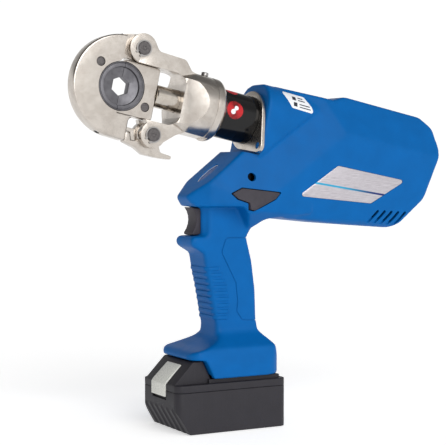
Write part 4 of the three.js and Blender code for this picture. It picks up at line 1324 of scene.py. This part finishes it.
class CRIMPER_OT_yoke(bpy.types.Operator):
    """Models the fork with its collar, its pins, retaining rings and the swivel screw"""

    bl_idname = "crimper.yoke"
    bl_label = "Yoke"

    def execute(self, context):
        fork = slab("yoke_forging", fork_side(), FORK_HALF, 10)
        ears = [
            rod("ear", UPPER_EAR, -FORK_HALF, FORK_HALF, centre=HINGE, steps=96),
            rod("ear", LOWER_EAR, -FORK_HALF, FORK_HALF, centre=PIVOT, steps=96),
        ]
        fork = joined(fork, *ears)
        fork = cut(fork, fork_window())
        fork = bevelled(fork, 1.0, 3, 40)
        yoke = joined(fork, neck_form())
        slot = TONGUE_HALF + GAP
        pin_hole = PIN_RADIUS + GAP
        yoke = cut(
            yoke,
            box("upper_slot", (-118, -slot, 19.5), (HINGE[0] + 13.9, slot, 68)),
            box("lower_slot", (-93, -slot, -66.7), (PIVOT[0] + 12.8, slot, -19.5)),
            rod("spigot_bore", 16.3, -30.3, 1, "x", steps=96),
            rod("rod_bore", ROD_RADIUS + GAP, -60, 1, "x", steps=96),
            rod("pin_bore", pin_hole, -20, 20, centre=HINGE),
            rod("pin_bore", pin_hole, -20, 20, centre=PIVOT),
            rod("screw_bore", 2.8, 15, 40, "z", centre=(-17, 0), steps=32),
        )
        yoke.name = "yoke_forging"
        finished(tilted(yoke), material("nickel"), "head", "nickel_steel", "yoke", angle=24)
        for name, spot in (("hinge", HINGE), ("latch", PIVOT)):
            pin = tilted(make_pin(f"{name}_pin_turned", spot))
            finished(pin, material("pin_steel"), "head", "die_steel", f"{name}_pin")
            for side in (-1, 1):
                word = "left" if side < 0 else "right"
                clip = tilted(make_clip(f"{name}_ring_{word}", spot, side))
                finished(clip, material("steel"), "head", "steel", f"{name}_clip_{word}")
        finished(tilted(swivel_screw()), material("steel"), "head", "steel", "swivel_screw")
        return {"FINISHED"}


def swivel_screw():
    """A slotted screw that stands in the collar."""
    shank = [(17, 0), (17, 2.5), (30.3, 2.5), (30.3, 3), (30.6, 3.4)]
    head = [(33, 3.4), (33.4, 3.1), (33.6, 2.6), (33.6, 0)]
    screw = turned("swivel_screw_turned", shank + head, 48, "z")
    return cut(shifted(screw, x=-17), box("driver_slot", (-22, -0.5, 32.6), (-12, 0.5, 35)))


def fork_window():
    """The room between the fork's arms, open at the front."""
    corners = [
        (-130, -WINDOW_HALF),
        (WINDOW_REAR, -WINDOW_HALF, WINDOW_CORNER),
        (WINDOW_REAR, WINDOW_HALF, WINDOW_CORNER),
        (-130, WINDOW_HALF),
    ]
    return slab("window", corners, 40, 12)


def neck_form():
    """The grooved collar and the neck that narrows from it to the fork."""
    r = COLLAR_RADIUS
    profile = [
        (-55, 0),
        (-55, r - 12),
        (-47, r - 5),
        (-34, r - 0.4),
        (-32, r),
        (-13.2, r),
        (-12.9, r - 0.5),
        (-12.1, r - 0.5),
        (-11.8, r),
        (-6, r),
        (-4.2, r - 0.8),
        (-2.5, r - 2.4),
        (-1, r - 4.6),
        (-0.3, r - 6),
        (-0.3, 0),
    ]
    neck = turned("neck", profile, 128)
    near = [(-55, -12.5), (-42, -16.5), (-20, -31), (1, -31)]
    far = [(1, 31), (-34, 31), (-44, 25), (-52, 12.5)]
    neck = common(neck, plate("neck_plan", rounded(near + far), -50, 50, "z"))
    lower = [(-50, -60), (-50, -27), (-8, -27.6), (-8, -60)]
    neck = cut(neck, slab("lower_flat", lower, 40))
    upper = [(-60, 22), (-46, 24.4, 6), (-34, 32, 6), (-20, 40), (-60, 40)]
    neck = cut(neck, fork_window(), slab("upper_flat", upper, 40))
    return bevelled(neck, 0.7, 3, 22)


def fork_side():
    """The fork's side outline, window filled."""
    return [
        (-29, -26, 4),
        (-29, 28, 4),
        (-36, ARM_TOP - 9, 4),
        (-44, ARM_TOP, 6),
        (-72, ARM_TOP + 0.8, 6),
        (-76.5, 45),
        (-88, 38),
        (-91, 20),
        (-91, -20),
        (-74, -22),
        (-67, -36.7),
        (-61, -47.9),
        (-55, -44.2, 4),
        (-41, -32.2, 4),
    ]


def make_pin(name, spot):
    """A pin with a dimpled end and a groove for each retaining ring."""
    end, groove, far = 13.6, 11.8, 12.8
    side = [
        (0, end - 0.5),
        (1.6, end - 0.35),
        (2, end),
        (PIN_RADIUS - 0.6, end),
        (PIN_RADIUS, end - 0.5),
        (PIN_RADIUS, far),
        (PIN_RADIUS - 0.9, far),
        (PIN_RADIUS - 0.9, groove),
        (PIN_RADIUS, groove),
    ]
    profile = [(along, radius) for radius, along in side]
    profile += [(-along, radius) for radius, along in reversed(side)]
    return shifted(turned(name, profile, 64, "y"), x=spot[0], z=spot[1])


def make_clip(name, spot, side):
    """A retaining ring with lugs, open over an arc."""
    outline = arc((0, 0), 7.6, -60, 240, 48)
    outline += [(-3.4, -8.4), (-1.5, -8), (-1.8, -5.9)]
    outline += arc((0, 0), 5.7, 250, -70, 48)
    outline += [(1.8, -5.9), (1.5, -8), (3.4, -8.4)]
    low, high = sorted((side * 11.9, side * 12.7))
    ring = plate(name, outline, low, high)
    return shifted(swung(ring, 35), x=spot[0], z=spot[1])


JAW_BUTTON = (DIE_CENTRE - 24.3, 17)
RAM_BUTTON = (DIE_CENTRE + 26.3, -13.5)
SET_SCREW_ANGLE = -74
HEEL_FLOOR = -45.2


class CRIMPER_OT_jaw(bpy.types.Operator):
    """Models the flip-open jaw, its set screw, die and die button"""

    bl_idname = "crimper.jaw"
    bl_label = "Jaw"

    def execute(self, context):
        body = plate("jaw_forging", jaw_outline(), -JAW_HALF, JAW_HALF)
        body = bevelled(body, 3.6, 6, 25)
        split = DIE_CENTRE - 0.15
        body = cut(
            body,
            box("split", (split, -20, -25.2), (-60, 20, 60)),
            box("step", (-104.1, -20, 28.5), (-60, 20, 60)),
        )
        tongue = slab(
            "tongue",
            [(-108, 28.5), (-99.5, 26.7), (-88, 25.5), (-88, 50.5), (-96, 49.6, 4), (-108, 47.2)],
            TONGUE_HALF,
        )
        ear = rod("tongue_ear", 12.7, -TONGUE_HALF, TONGUE_HALF, centre=HINGE, steps=96)
        tongue = bevelled(joined(tongue, ear), 0.5, 2, 40)
        heel = bevelled(plate("heel", heel_outline(), -TONGUE_HALF, TONGUE_HALF), 0.4, 2, 40)
        jaw = joined(body, tongue, heel)
        jaw = cut(
            jaw,
            rod("die_bore", DIE_RADIUS + GAP, -40, 40, centre=(DIE_CENTRE, 0), steps=128),
            rod("pin_bore", PIN_RADIUS + GAP, -20, 20, centre=HINGE),
            rod("button_bore", 4.3, -20, 2, centre=JAW_BUTTON, steps=48),
            set_screw_placed(rod("set_screw_bore", 2.8, -60, -39, "x", steps=32)),
            slab("notch", [(-106, 22), (-99, 22), (-99, 26.2), (-104, 25.4)], 20),
        )
        finished(tilted(jaw), material("nickel"), "jaw", "nickel_steel", "jaw")
        screw = turned("set_screw_turned", [(-47.4, 0), (-47.4, 2.1), (-47, 2.5), (-41, 2.5), (-41, 0)], 32)
        screw = cut(screw, plate("socket", hexagon(1.3, 0), -50, -45, "x"))
        screw = tilted(set_screw_placed(screw))
        finished(screw, material("black_oxide"), "jaw", "black_oxide", "jaw_set_screw")
        die = tilted(half_die("jaw_die_shell", -1))
        finished(die, material("die_steel"), "jaw", "die_steel", "jaw_die")
        button = die_button("jaw_button_turned", JAW_BUTTON)
        finished(tilted(button), material("pin_steel"), "jaw_die_button", "die_steel", "jaw_die_button")
        return {"FINISHED"}


def set_screw_placed(piece):
    """Takes a piece from the ram's axis to the set screw's place round the die."""
    return shifted(swung(piece, SET_SCREW_ANGLE), x=DIE_CENTRE)


def hexagon(radius, start):
    """Six corners at a radius, the first at an angle in degrees."""
    return arc((0, 0), radius, start, start + 300, 5)


def jaw_outline():
    """The jaw's rim with its arc, drawn past the split so that its rounded edge runs out there."""
    outline = arc((DIE_CENTRE - 0.5, 0), JAW_RADIUS, 92, 264, 96)
    outline += rounded([(-91.5, -47.4), (-87.5, -47.4, 5), (-87.5, -27.5), (-78, -20)], 10)[1:]
    outline += [(-78, 46.7)]
    return outline


def heel_outline():
    """The heel behind the jaw's lower end, its front an arc about the latch's pivot."""
    front = 19.7
    top, floor = -34.7, HEEL_FLOOR

    def at(t):
        return PIVOT[0] - math.sqrt(front**2 - (t - PIVOT[1]) ** 2)

    return [
        (-93, top),
        (-93, top - 3.1),
        (at(floor + 7), floor + 7),
        (at(floor + 4), floor + 4),
        (at(floor), floor),
        (at(floor) + 4, floor),
        (at(top) + 5, top),
    ]


def half_die(name, side):
    """A half-shell die with recessed faces round a hexagon."""
    r, rim = DIE_RADIUS, 17.5
    profile = [
        (-DIE_HALF + 2.5, 0),
        (-DIE_HALF + 2.5, rim - 0.2),
        (-DIE_HALF + 0.3, rim),
        (-DIE_HALF, rim + 0.3),
        (-DIE_HALF, r - 1.7),
        (-DIE_HALF + 0.5, r - 1.5),
        (-DIE_HALF + 0.5, r - 1.1),
        (-DIE_HALF, r - 0.9),
        (-DIE_HALF, r - 0.4),
        (-DIE_HALF + 0.4, r),
    ]
    profile += [(-along, radius) for along, radius in reversed(profile)]
    ring = turned(name, profile, 128, "y")
    ring = cut(ring, plate("hexagon", hexagon(DIE_FLATS / math.sqrt(3), 30), -20, 20))
    low, high = (-80, -0.15) if side < 0 else (0.15, 80)
    ring = common(ring, box("half", (low, -20, -40), (high, 20, 40)))
    ring = bevelled(ring, 0.35, 2, 50)
    return shifted(ring, x=DIE_CENTRE)


def die_button(name, spot):
    """The button that frees a die, set in the left face."""
    profile = [(-7, 0), (-7, 3.4), (-6.6, 4), (-1.5, 4), (-1.5, 0)]
    return shifted(turned(name, profile, 48, "y"), x=spot[0], z=spot[1])


class CRIMPER_OT_ram(bpy.types.Operator):
    """Models the ram with its carriage, die and die button"""

    bl_idname = "crimper.ram"
    bl_label = "Ram"

    def execute(self, context):
        front = DIE_CENTRE + 0.15
        rear, half = CARRIAGE_REAR, CARRIAGE_HALF
        corners = [(front - 8, -half), (rear, -half, 2.5), (rear, half, 2.5), (front - 8, half)]
        body = bevelled(slab("carriage_block", corners, JAW_HALF), 0.8, 3, 30)
        body = cut(
            body,
            box("split", (-130, -20, -40), (front, 20, 40)),
            rod("die_bore", DIE_RADIUS + GAP, -40, 40, centre=(DIE_CENTRE, 0), steps=128),
            rod("spigot_bore", 5.3, CARRIAGE_REAR - 7.3, -60, "x", steps=48),
            rod("button_bore", 4.3, -20, 2, centre=RAM_BUTTON, steps=48),
        )
        finished(tilted(body), material("nickel"), "ram", "nickel_steel", "carriage")
        start = CARRIAGE_REAR + GAP
        profile = [
            (start - 7, 0),
            (start - 7, 4.6),
            (start - 6.6, 5),
            (start, 5),
            (start, ROD_RADIUS - 1),
            (start + 1, ROD_RADIUS),
            (8, ROD_RADIUS),
            (8, 13.6),
            (8.4, 14),
            (12, 14),
            (12, 12.8),
            (16, 12.8),
            (16, 14),
            (20, 14),
            (20, 0),
        ]
        ram = tilted(turned("ram_turned", profile, 96))
        finished(ram, material("chrome"), "ram", "ram_steel", "ram")
        die = tilted(half_die("ram_die_shell", 1))
        finished(die, material("die_steel"), "ram", "die_steel", "ram_die")
        button = die_button("ram_button_turned", RAM_BUTTON)
        finished(tilted(button), material("pin_steel"), "ram_die_button", "die_steel", "ram_die_button")
        return {"FINISHED"}


class CRIMPER_OT_latch(bpy.types.Operator):
    """Models the latch lever, with the well that its spring lies in"""

    bl_idname = "crimper.latch"
    bl_label = "Latch"

    def execute(self, context):
        body = plate("latch_lever", rounded(latch_outline(), 6), -TONGUE_HALF, TONGUE_HALF)
        boss = rod("boss", 10.5, -TONGUE_HALF, TONGUE_HALF, centre=PIVOT, steps=96)
        body = bevelled(joined(body, boss), 0.7, 3, 40)
        well = cut(
            rod("well", 9.5, -3.3, 3.6, centre=PIVOT, steps=64),
            rod("core", 6.2, -9, 9, centre=PIVOT, steps=64),
        )
        body = cut(body, rod("pin_bore", PIN_RADIUS + GAP, -20, 20, centre=PIVOT), well)
        finished(tilted(body), material("nickel"), "latch", "nickel_steel", "latch")
        return {"FINISHED"}


def latch_outline():
    """Hook, tooth, belly and thumb tail."""
    s, t = PIVOT
    floor = HEEL_FLOOR
    tip, top, back = s - 24, floor + 5.6, 20.2

    def at(height):
        return s - math.sqrt(back**2 - (height - t) ** 2)

    return [
        (tip, top),
        (tip, floor - 3, 1.5),
        (tip + 13, floor - 6, 3),
        (s - 2, floor - 10.3, 4),
        (s + 12, floor - 10.3),
        (s + 25, floor - 9.2, 1.4),
        (s + 25.5, floor - 6, 1.4),
        (s + 13.5, floor - 5, 3),
        (s + 9, t - 4),
        (s - 8, t - 5),
        (s - 13.2, floor + 0.1),
        (s - 14, floor - 0.5),
        (at(floor - 0.5), floor - 0.5),
        (at(floor + 3), floor + 3),
        (at(top), top),
    ]


# ---- Controls -----------------------------------------------------------------------------


class CRIMPER_OT_controls(bpy.types.Operator):
    """Models the trigger and the pressure-release button"""

    bl_idname = "crimper.controls"
    bl_label = "Controls"

    def execute(self, context):
        back = [(-26.5, 180.6), (-13, 182.4), (-13, 205.1), (-28, 206.9)]
        upper = [(-25.4, 203.2), (-24, 199), (-23.6, 195)]
        lower = [(-24.2, 191), (-25.6, 187), (-27.6, 184), (-28.6, 182.2)]
        trigger = plate("trigger_blade", back + upper + lower, -9, 9)
        trigger = bevelled(trigger, 1.6, 4, 35)
        trigger = cut(trigger, rod("spring_well", 5.5, -22, -10, "x", (0, 193.75), 32))
        finished(trigger, material("dark_plastic"), "trigger", "control_plastic", "trigger")
        cap = plate("release_cap", rounded(inset(RELEASE_BUTTON, GAP)), -BARREL_HALF, -TRUNK_HALF + 4)
        cap = bevelled(cut(cap, band_wedge(-1, 0.8)), 0.5, 3, 30)
        stem = rod("release_stem", 4, -TRUNK_HALF + 3, -TRUNK_HALF + 9, centre=(24, 214), steps=32)
        button = joined(cap, stem)
        finished(button, material("dark_plastic"), "retract_button", "control_plastic", "retract_button")
        return {"FINISHED"}


# ---- Battery ------------------------------------------------------------------------------


CHIN_LENGTH = 13
CHIN_HEIGHT = 22
FLUTE_COUNT = 6
FLUTE_PITCH = 11.4
FLUTE_INSET = 9.6
FLUTE_DROP = 1.4


def battery_plan(wall, radius=8, low=-1, high=60):
    """The battery from above, between two heights."""
    x = BATTERY_LENGTH / 2 - wall
    y = BATTERY_WIDTH / 2 - wall
    corners = [(-x, -y, radius), (x, -y, radius), (x, y, radius), (-x, y, radius)]
    return plate("battery_plan", rounded(corners, 10), low, high, "z")


class CRIMPER_OT_battery(bpy.types.Operator):
    """Models the battery's tub, cover and release button"""

    bl_idname = "crimper.battery"
    bl_label = "Battery"

    def execute(self, context):
        tub = battery_tub(context.scene.crimper_battery.flute)
        for moulding, node in ((tub, "battery_tub"), (battery_cover(), "battery_cover")):
            finished(moulding, material("charcoal_plastic"), "battery", "battery_plastic", node)
        pad = battery_button()
        finished(pad, material("pale_plastic"), "battery_button", "pale_button", "battery_button")
        return {"FINISHED"}


def battery_tub(flute_radius):
    """The open tub, with flutes up its slanting nose and a notch for the button's tab."""
    half = BATTERY_LENGTH / 2
    side = [
        (-half + CHIN_LENGTH, 0, 2),
        (half, 0, 3),
        (half, TUB_TOP),
        (-half, TUB_TOP),
        (-half, CHIN_HEIGHT, 4),
    ]
    tub = common(slab("tub_moulding", side, BATTERY_WIDTH / 2), battery_plan(0))
    tub = bevelled(tub, 0.9, 3, 40)
    inner = [(-43, 2.5), (80, 2.5), (80, 60), (-half + 5, 60), (-half + 5, CHIN_HEIGHT)]
    room = common(slab("tub_room", inner, 50), battery_plan(2.5, 6, 2.5, 60))
    lean = math.degrees(math.atan2(CHIN_HEIGHT, -CHIN_LENGTH))
    for index in range(FLUTE_COUNT):
        across = (index - (FLUTE_COUNT - 1) / 2) * FLUTE_PITCH
        flute = swung(rod("flute", flute_radius, -30, 60, "x", steps=32), -lean)
        tub = cut(tub, shifted(flute, x=-half + FLUTE_INSET, y=across, z=-FLUTE_DROP))
    notch = box("notch", (-80, -14.5, 30), (-half + 2.2, 14.5, TUB_TOP + 1))
    return cut(tub, room, notch)


SLOPE_FOOT = (-57.4, 46.2)
SLOPE_TOP = (-41.8, 61.2)
SLOPE = math.degrees(math.atan2(SLOPE_TOP[1] - SLOPE_FOOT[1], SLOPE_TOP[0] - SLOPE_FOOT[0]))
SLOPE_LENGTH = math.dist(SLOPE_FOOT, SLOPE_TOP)


def along_slope(piece):
    """Takes a piece from level to the hump's front slope."""
    return shifted(swung(piece, -SLOPE), x=SLOPE_FOOT[0], z=SLOPE_FOOT[1])


def battery_cover():
    """The rim, deck, hump and tower over the tub, with the button's seat."""
    half = BATTERY_LENGTH / 2
    rim = bevelled(battery_plan(0, 8, TUB_TOP + 0.3, RIM_TOP), 0.7, 3, 40)
    deck = FOOT_FLOOR - 0.3
    raised = box("raised", (-23, -32.5, RIM_TOP - 1), (52, 32.5, deck))
    hump_side = [
        (-half + 1, RIM_TOP - 1),
        (-20, RIM_TOP - 1),
        (-20, FOOT_FLOOR),
        (-28, 65.5),
        (-38, 65.5, 4),
        (-half + 1, RIM_TOP + 0.5),
    ]
    hump = bevelled(slab("hump", hump_side, 30), 1.8, 4, 35)
    neck = box("neck", (-25, -15, deck - 1), (20, 15, 58))
    head = box("tower", (-25, -19, FOOT_FLOOR + 3.4), (20, 19, 58))
    cover = joined(rim, raised, hump, neck, head)
    seat = along_slope(box("seat", (-2, -14.3, -6.3), (SLOPE_LENGTH + 0.3, 14.3, 12)))
    notch = box("notch", (-80, -14.3, 30), (-half + 3, 14.3, RIM_TOP + 1))
    room = battery_plan(4, 6, TUB_TOP - 1, RIM_TOP - 1.5)
    blades = [box("blade_slot", (11.4, side * 9 - 1.6, 52), (45, side * 9 + 1.6, 57.2)) for side in (-1, 1)]
    cover = cut(cover, room, seat, notch, *blades)
    cover.name = "cover_moulding"
    return cover


def battery_button():
    """The pad on the hump's slope and the tab below it."""
    half = BATTERY_LENGTH / 2
    pad = box("release_pad", (0.2, -BUTTON_HALF, -4), (SLOPE_LENGTH - 0.2, BUTTON_HALF, 1))
    pad = along_slope(bevelled(pad, 0.6, 3))
    corners = [
        (-half - 1.6, 33, 0.8),
        (-half + 0.1, 33),
        (-half + 0.3, 42),
        (-half + 3, 45.6),
        (-half + 0.4, 47.4),
        (-half - 1.6, 44.5, 2),
    ]
    tab = bevelled(slab("tab", corners, BUTTON_HALF, 4), 0.4, 2, 50)
    return joined(pad, tab)


# ---- Inner pieces -------------------------------------------------------------------------

INNER_FINISHES = {
    "steel": [
        "cylinder",
        "return_spring",
        "pump_shaft",
        "foot_rails",
        "trigger_spring",
        "retract_spring",
        "latch_spring",
    ],
    "cast_alloy": ["pump_block", "gearbox", "motor"],
    "brass": ["relief_valve", "terminal_blade_left", "terminal_blade_right"],
    "rubber": ["oil_reservoir"],
    "black_plastic": ["motor_cap", "terminal_block", "trigger_switch"],
    "board": ["control_board"],
    "cell_wrap": ["cell_block"],
    "black_oxide": ["housing_screw_front", "housing_screw_middle", "housing_screw_rear"],
}


class CRIMPER_OT_inner(bpy.types.Operator):
    """Gives the pieces inside the tool their finishes"""

    bl_idname = "crimper.inner"
    bl_label = "Inner pieces"

    def execute(self, context):
        for name, nodes in INNER_FINISHES.items():
            for node in nodes:
                piece = frame["nodes"][node]
                piece.data.materials.clear()
                piece.data.materials.append(material(name))
        return {"FINISHED"}


# ---- Stage --------------------------------------------------------------------------------


class StageSettings(bpy.types.PropertyGroup):
    """Camera and light."""

    lens: bpy.props.FloatProperty(
        name="Lens",
        description="Focal length of the camera",
        subtype="DISTANCE_CAMERA",
        default=108.97,
        min=20,
        max=300,
    )
    key: bpy.props.FloatProperty(
        name="Key light",
        description="Strength of the large soft light, in watts for each square metre",
        default=1.8,
        min=0,
        max=50,
    )


# The camera, in metres and degrees: it looks a little down, from ahead on the left.
CAMERA_PLACE = (-0.60156, -1.12431, 0.24207)
CAMERA_DROP = 2.25
CAMERA_HEADING = -28.52


class CRIMPER_OT_stage(bpy.types.Operator):
    """Sets the camera, a pale floor and soft studio light"""

    bl_idname = "crimper.stage"
    bl_label = "Stage"

    def execute(self, context):
        settings = context.scene.crimper_stage
        deselect()
        bpy.ops.object.camera_add(
            location=CAMERA_PLACE,
            rotation=(math.radians(90 - CAMERA_DROP), 0, math.radians(CAMERA_HEADING)),
        )
        camera = named_object("camera")
        camera.data.lens = settings.lens
        camera.data.sensor_width = 36
        camera.data.clip_start = 0.01
        context.scene.camera = camera

        deselect()
        bpy.ops.mesh.primitive_plane_add(size=12, location=(0, 0, -0.0005))
        floor = named("floor")
        pale = Finish("floor_paint", colour("#f8f8f8"), 0.9, Emission_Strength=0.5)
        pale.set("Emission Color", (1, 1, 1, 1))
        floor.data.materials.append(pale.material)
        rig.stage(floor)
        studio_world()

        for name, direction, angle, power in [
            ("key", (-0.1, -0.87, 0.48), 50, settings.key),
            ("fill", (0.5, -0.5, 0.7), 60, settings.key * 0.1),
        ]:
            bpy.ops.object.light_add(type="SUN")
            lamp = named_object(name)
            lamp.data.energy = power
            lamp.data.angle = math.radians(angle)
            lamp.rotation_euler = Vector(direction).to_track_quat("Z", "Y").to_euler()
        context.scene.view_settings.view_transform = "Standard"
        return {"FINISHED"}


def studio_world():
    """White low down all round and highest on the far side, grey above."""
    world = bpy.data.worlds.new("studio")
    bpy.context.scene.world = world
    world.use_nodes = True
    sky = Tree(world.node_tree)
    x, y, z = sky.split(sky.node("ShaderNodeTexCoord", output="Generated"))
    far = (x * 0.477 + y * 0.878).step(0.55, 0.93) * (1 - z.step(0.2, 0.55))
    near = (x * 0.5 - y * 0.86).step(0.55, 0.95) * (1 - z.step(0.25, 0.6))
    front = (0 - x).step(0.25, 0.95) * (1 - far)
    grey = (0.34 - front * 0.24) * (1 - z.step(0.3, 0.75) * 0.5) + near * 0.55
    pale = far + (1 - far) * (1 - z.step(0.16, 0.34)) * 0.92
    light = grey + pale * (1.04 - grey)
    output = sky.tree.nodes.new("ShaderNodeOutputWorld")
    shine = sky.node("ShaderNodeBackground", inputs={"Strength": light, "Color": (1, 1, 1, 1)})
    sky.tree.links.new(shine.socket, output.inputs["Surface"])


def named_object(name):
    """The camera or lamp that has just been added, with its name."""
    thing = bpy.context.object
    thing.name = name
    return thing


class CRIMPER_PT_panel(bpy.types.Panel):
    """Lists the tool's pieces and sizes"""

    bl_idname = "CRIMPER_PT_panel"
    bl_label = "Crimping tool"
    bl_space_type = "VIEW_3D"
    bl_region_type = "UI"
    bl_category = "Crimping tool"

    def draw(self, context):
        scene = context.scene
        for step in STEPS:
            self.layout.operator(step.bl_idname)
        for group in (scene.crimper_body, scene.crimper_battery, scene.crimper_stage):
            for name in group.bl_rna.properties.keys():
                if name not in {"rna_type", "name"}:
                    self.layout.prop(group, name)


STEPS = [
    CRIMPER_OT_stage,
    CRIMPER_OT_housing,
    CRIMPER_OT_labels,
    CRIMPER_OT_sleeve,
    CRIMPER_OT_yoke,
    CRIMPER_OT_jaw,
    CRIMPER_OT_ram,
    CRIMPER_OT_latch,
    CRIMPER_OT_controls,
    CRIMPER_OT_battery,
    CRIMPER_OT_inner,
]
GROUPS = {
    "crimper_body": BodySettings,
    "crimper_battery": BatterySettings,
    "crimper_stage": StageSettings,
}


def register():
    for group in GROUPS.values():
        bpy.utils.register_class(group)
    for name, group in GROUPS.items():
        setattr(bpy.types.Scene, name, bpy.props.PointerProperty(type=group))
    for step in STEPS:
        bpy.utils.register_class(step)
    bpy.utils.register_class(CRIMPER_PT_panel)


def unregister():
    bpy.utils.unregister_class(CRIMPER_PT_panel)
    for step in reversed(STEPS):
        bpy.utils.unregister_class(step)
    for name, group in GROUPS.items():
        delattr(bpy.types.Scene, name)
        bpy.utils.unregister_class(group)


def main():
    """Makes the whole tool and writes how large it is beside its CAD model."""
    register()
    for step in STEPS:
        family, name = step.bl_idname.split(".")
        getattr(getattr(bpy.ops, family), name)()
    visual = [list(corner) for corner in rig.bounds()]
    with open("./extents.json", "w") as file:
        json.dump({"cad": CAD_BOUNDS, "visual": visual}, file)


if __name__ == "__main__":
    main()
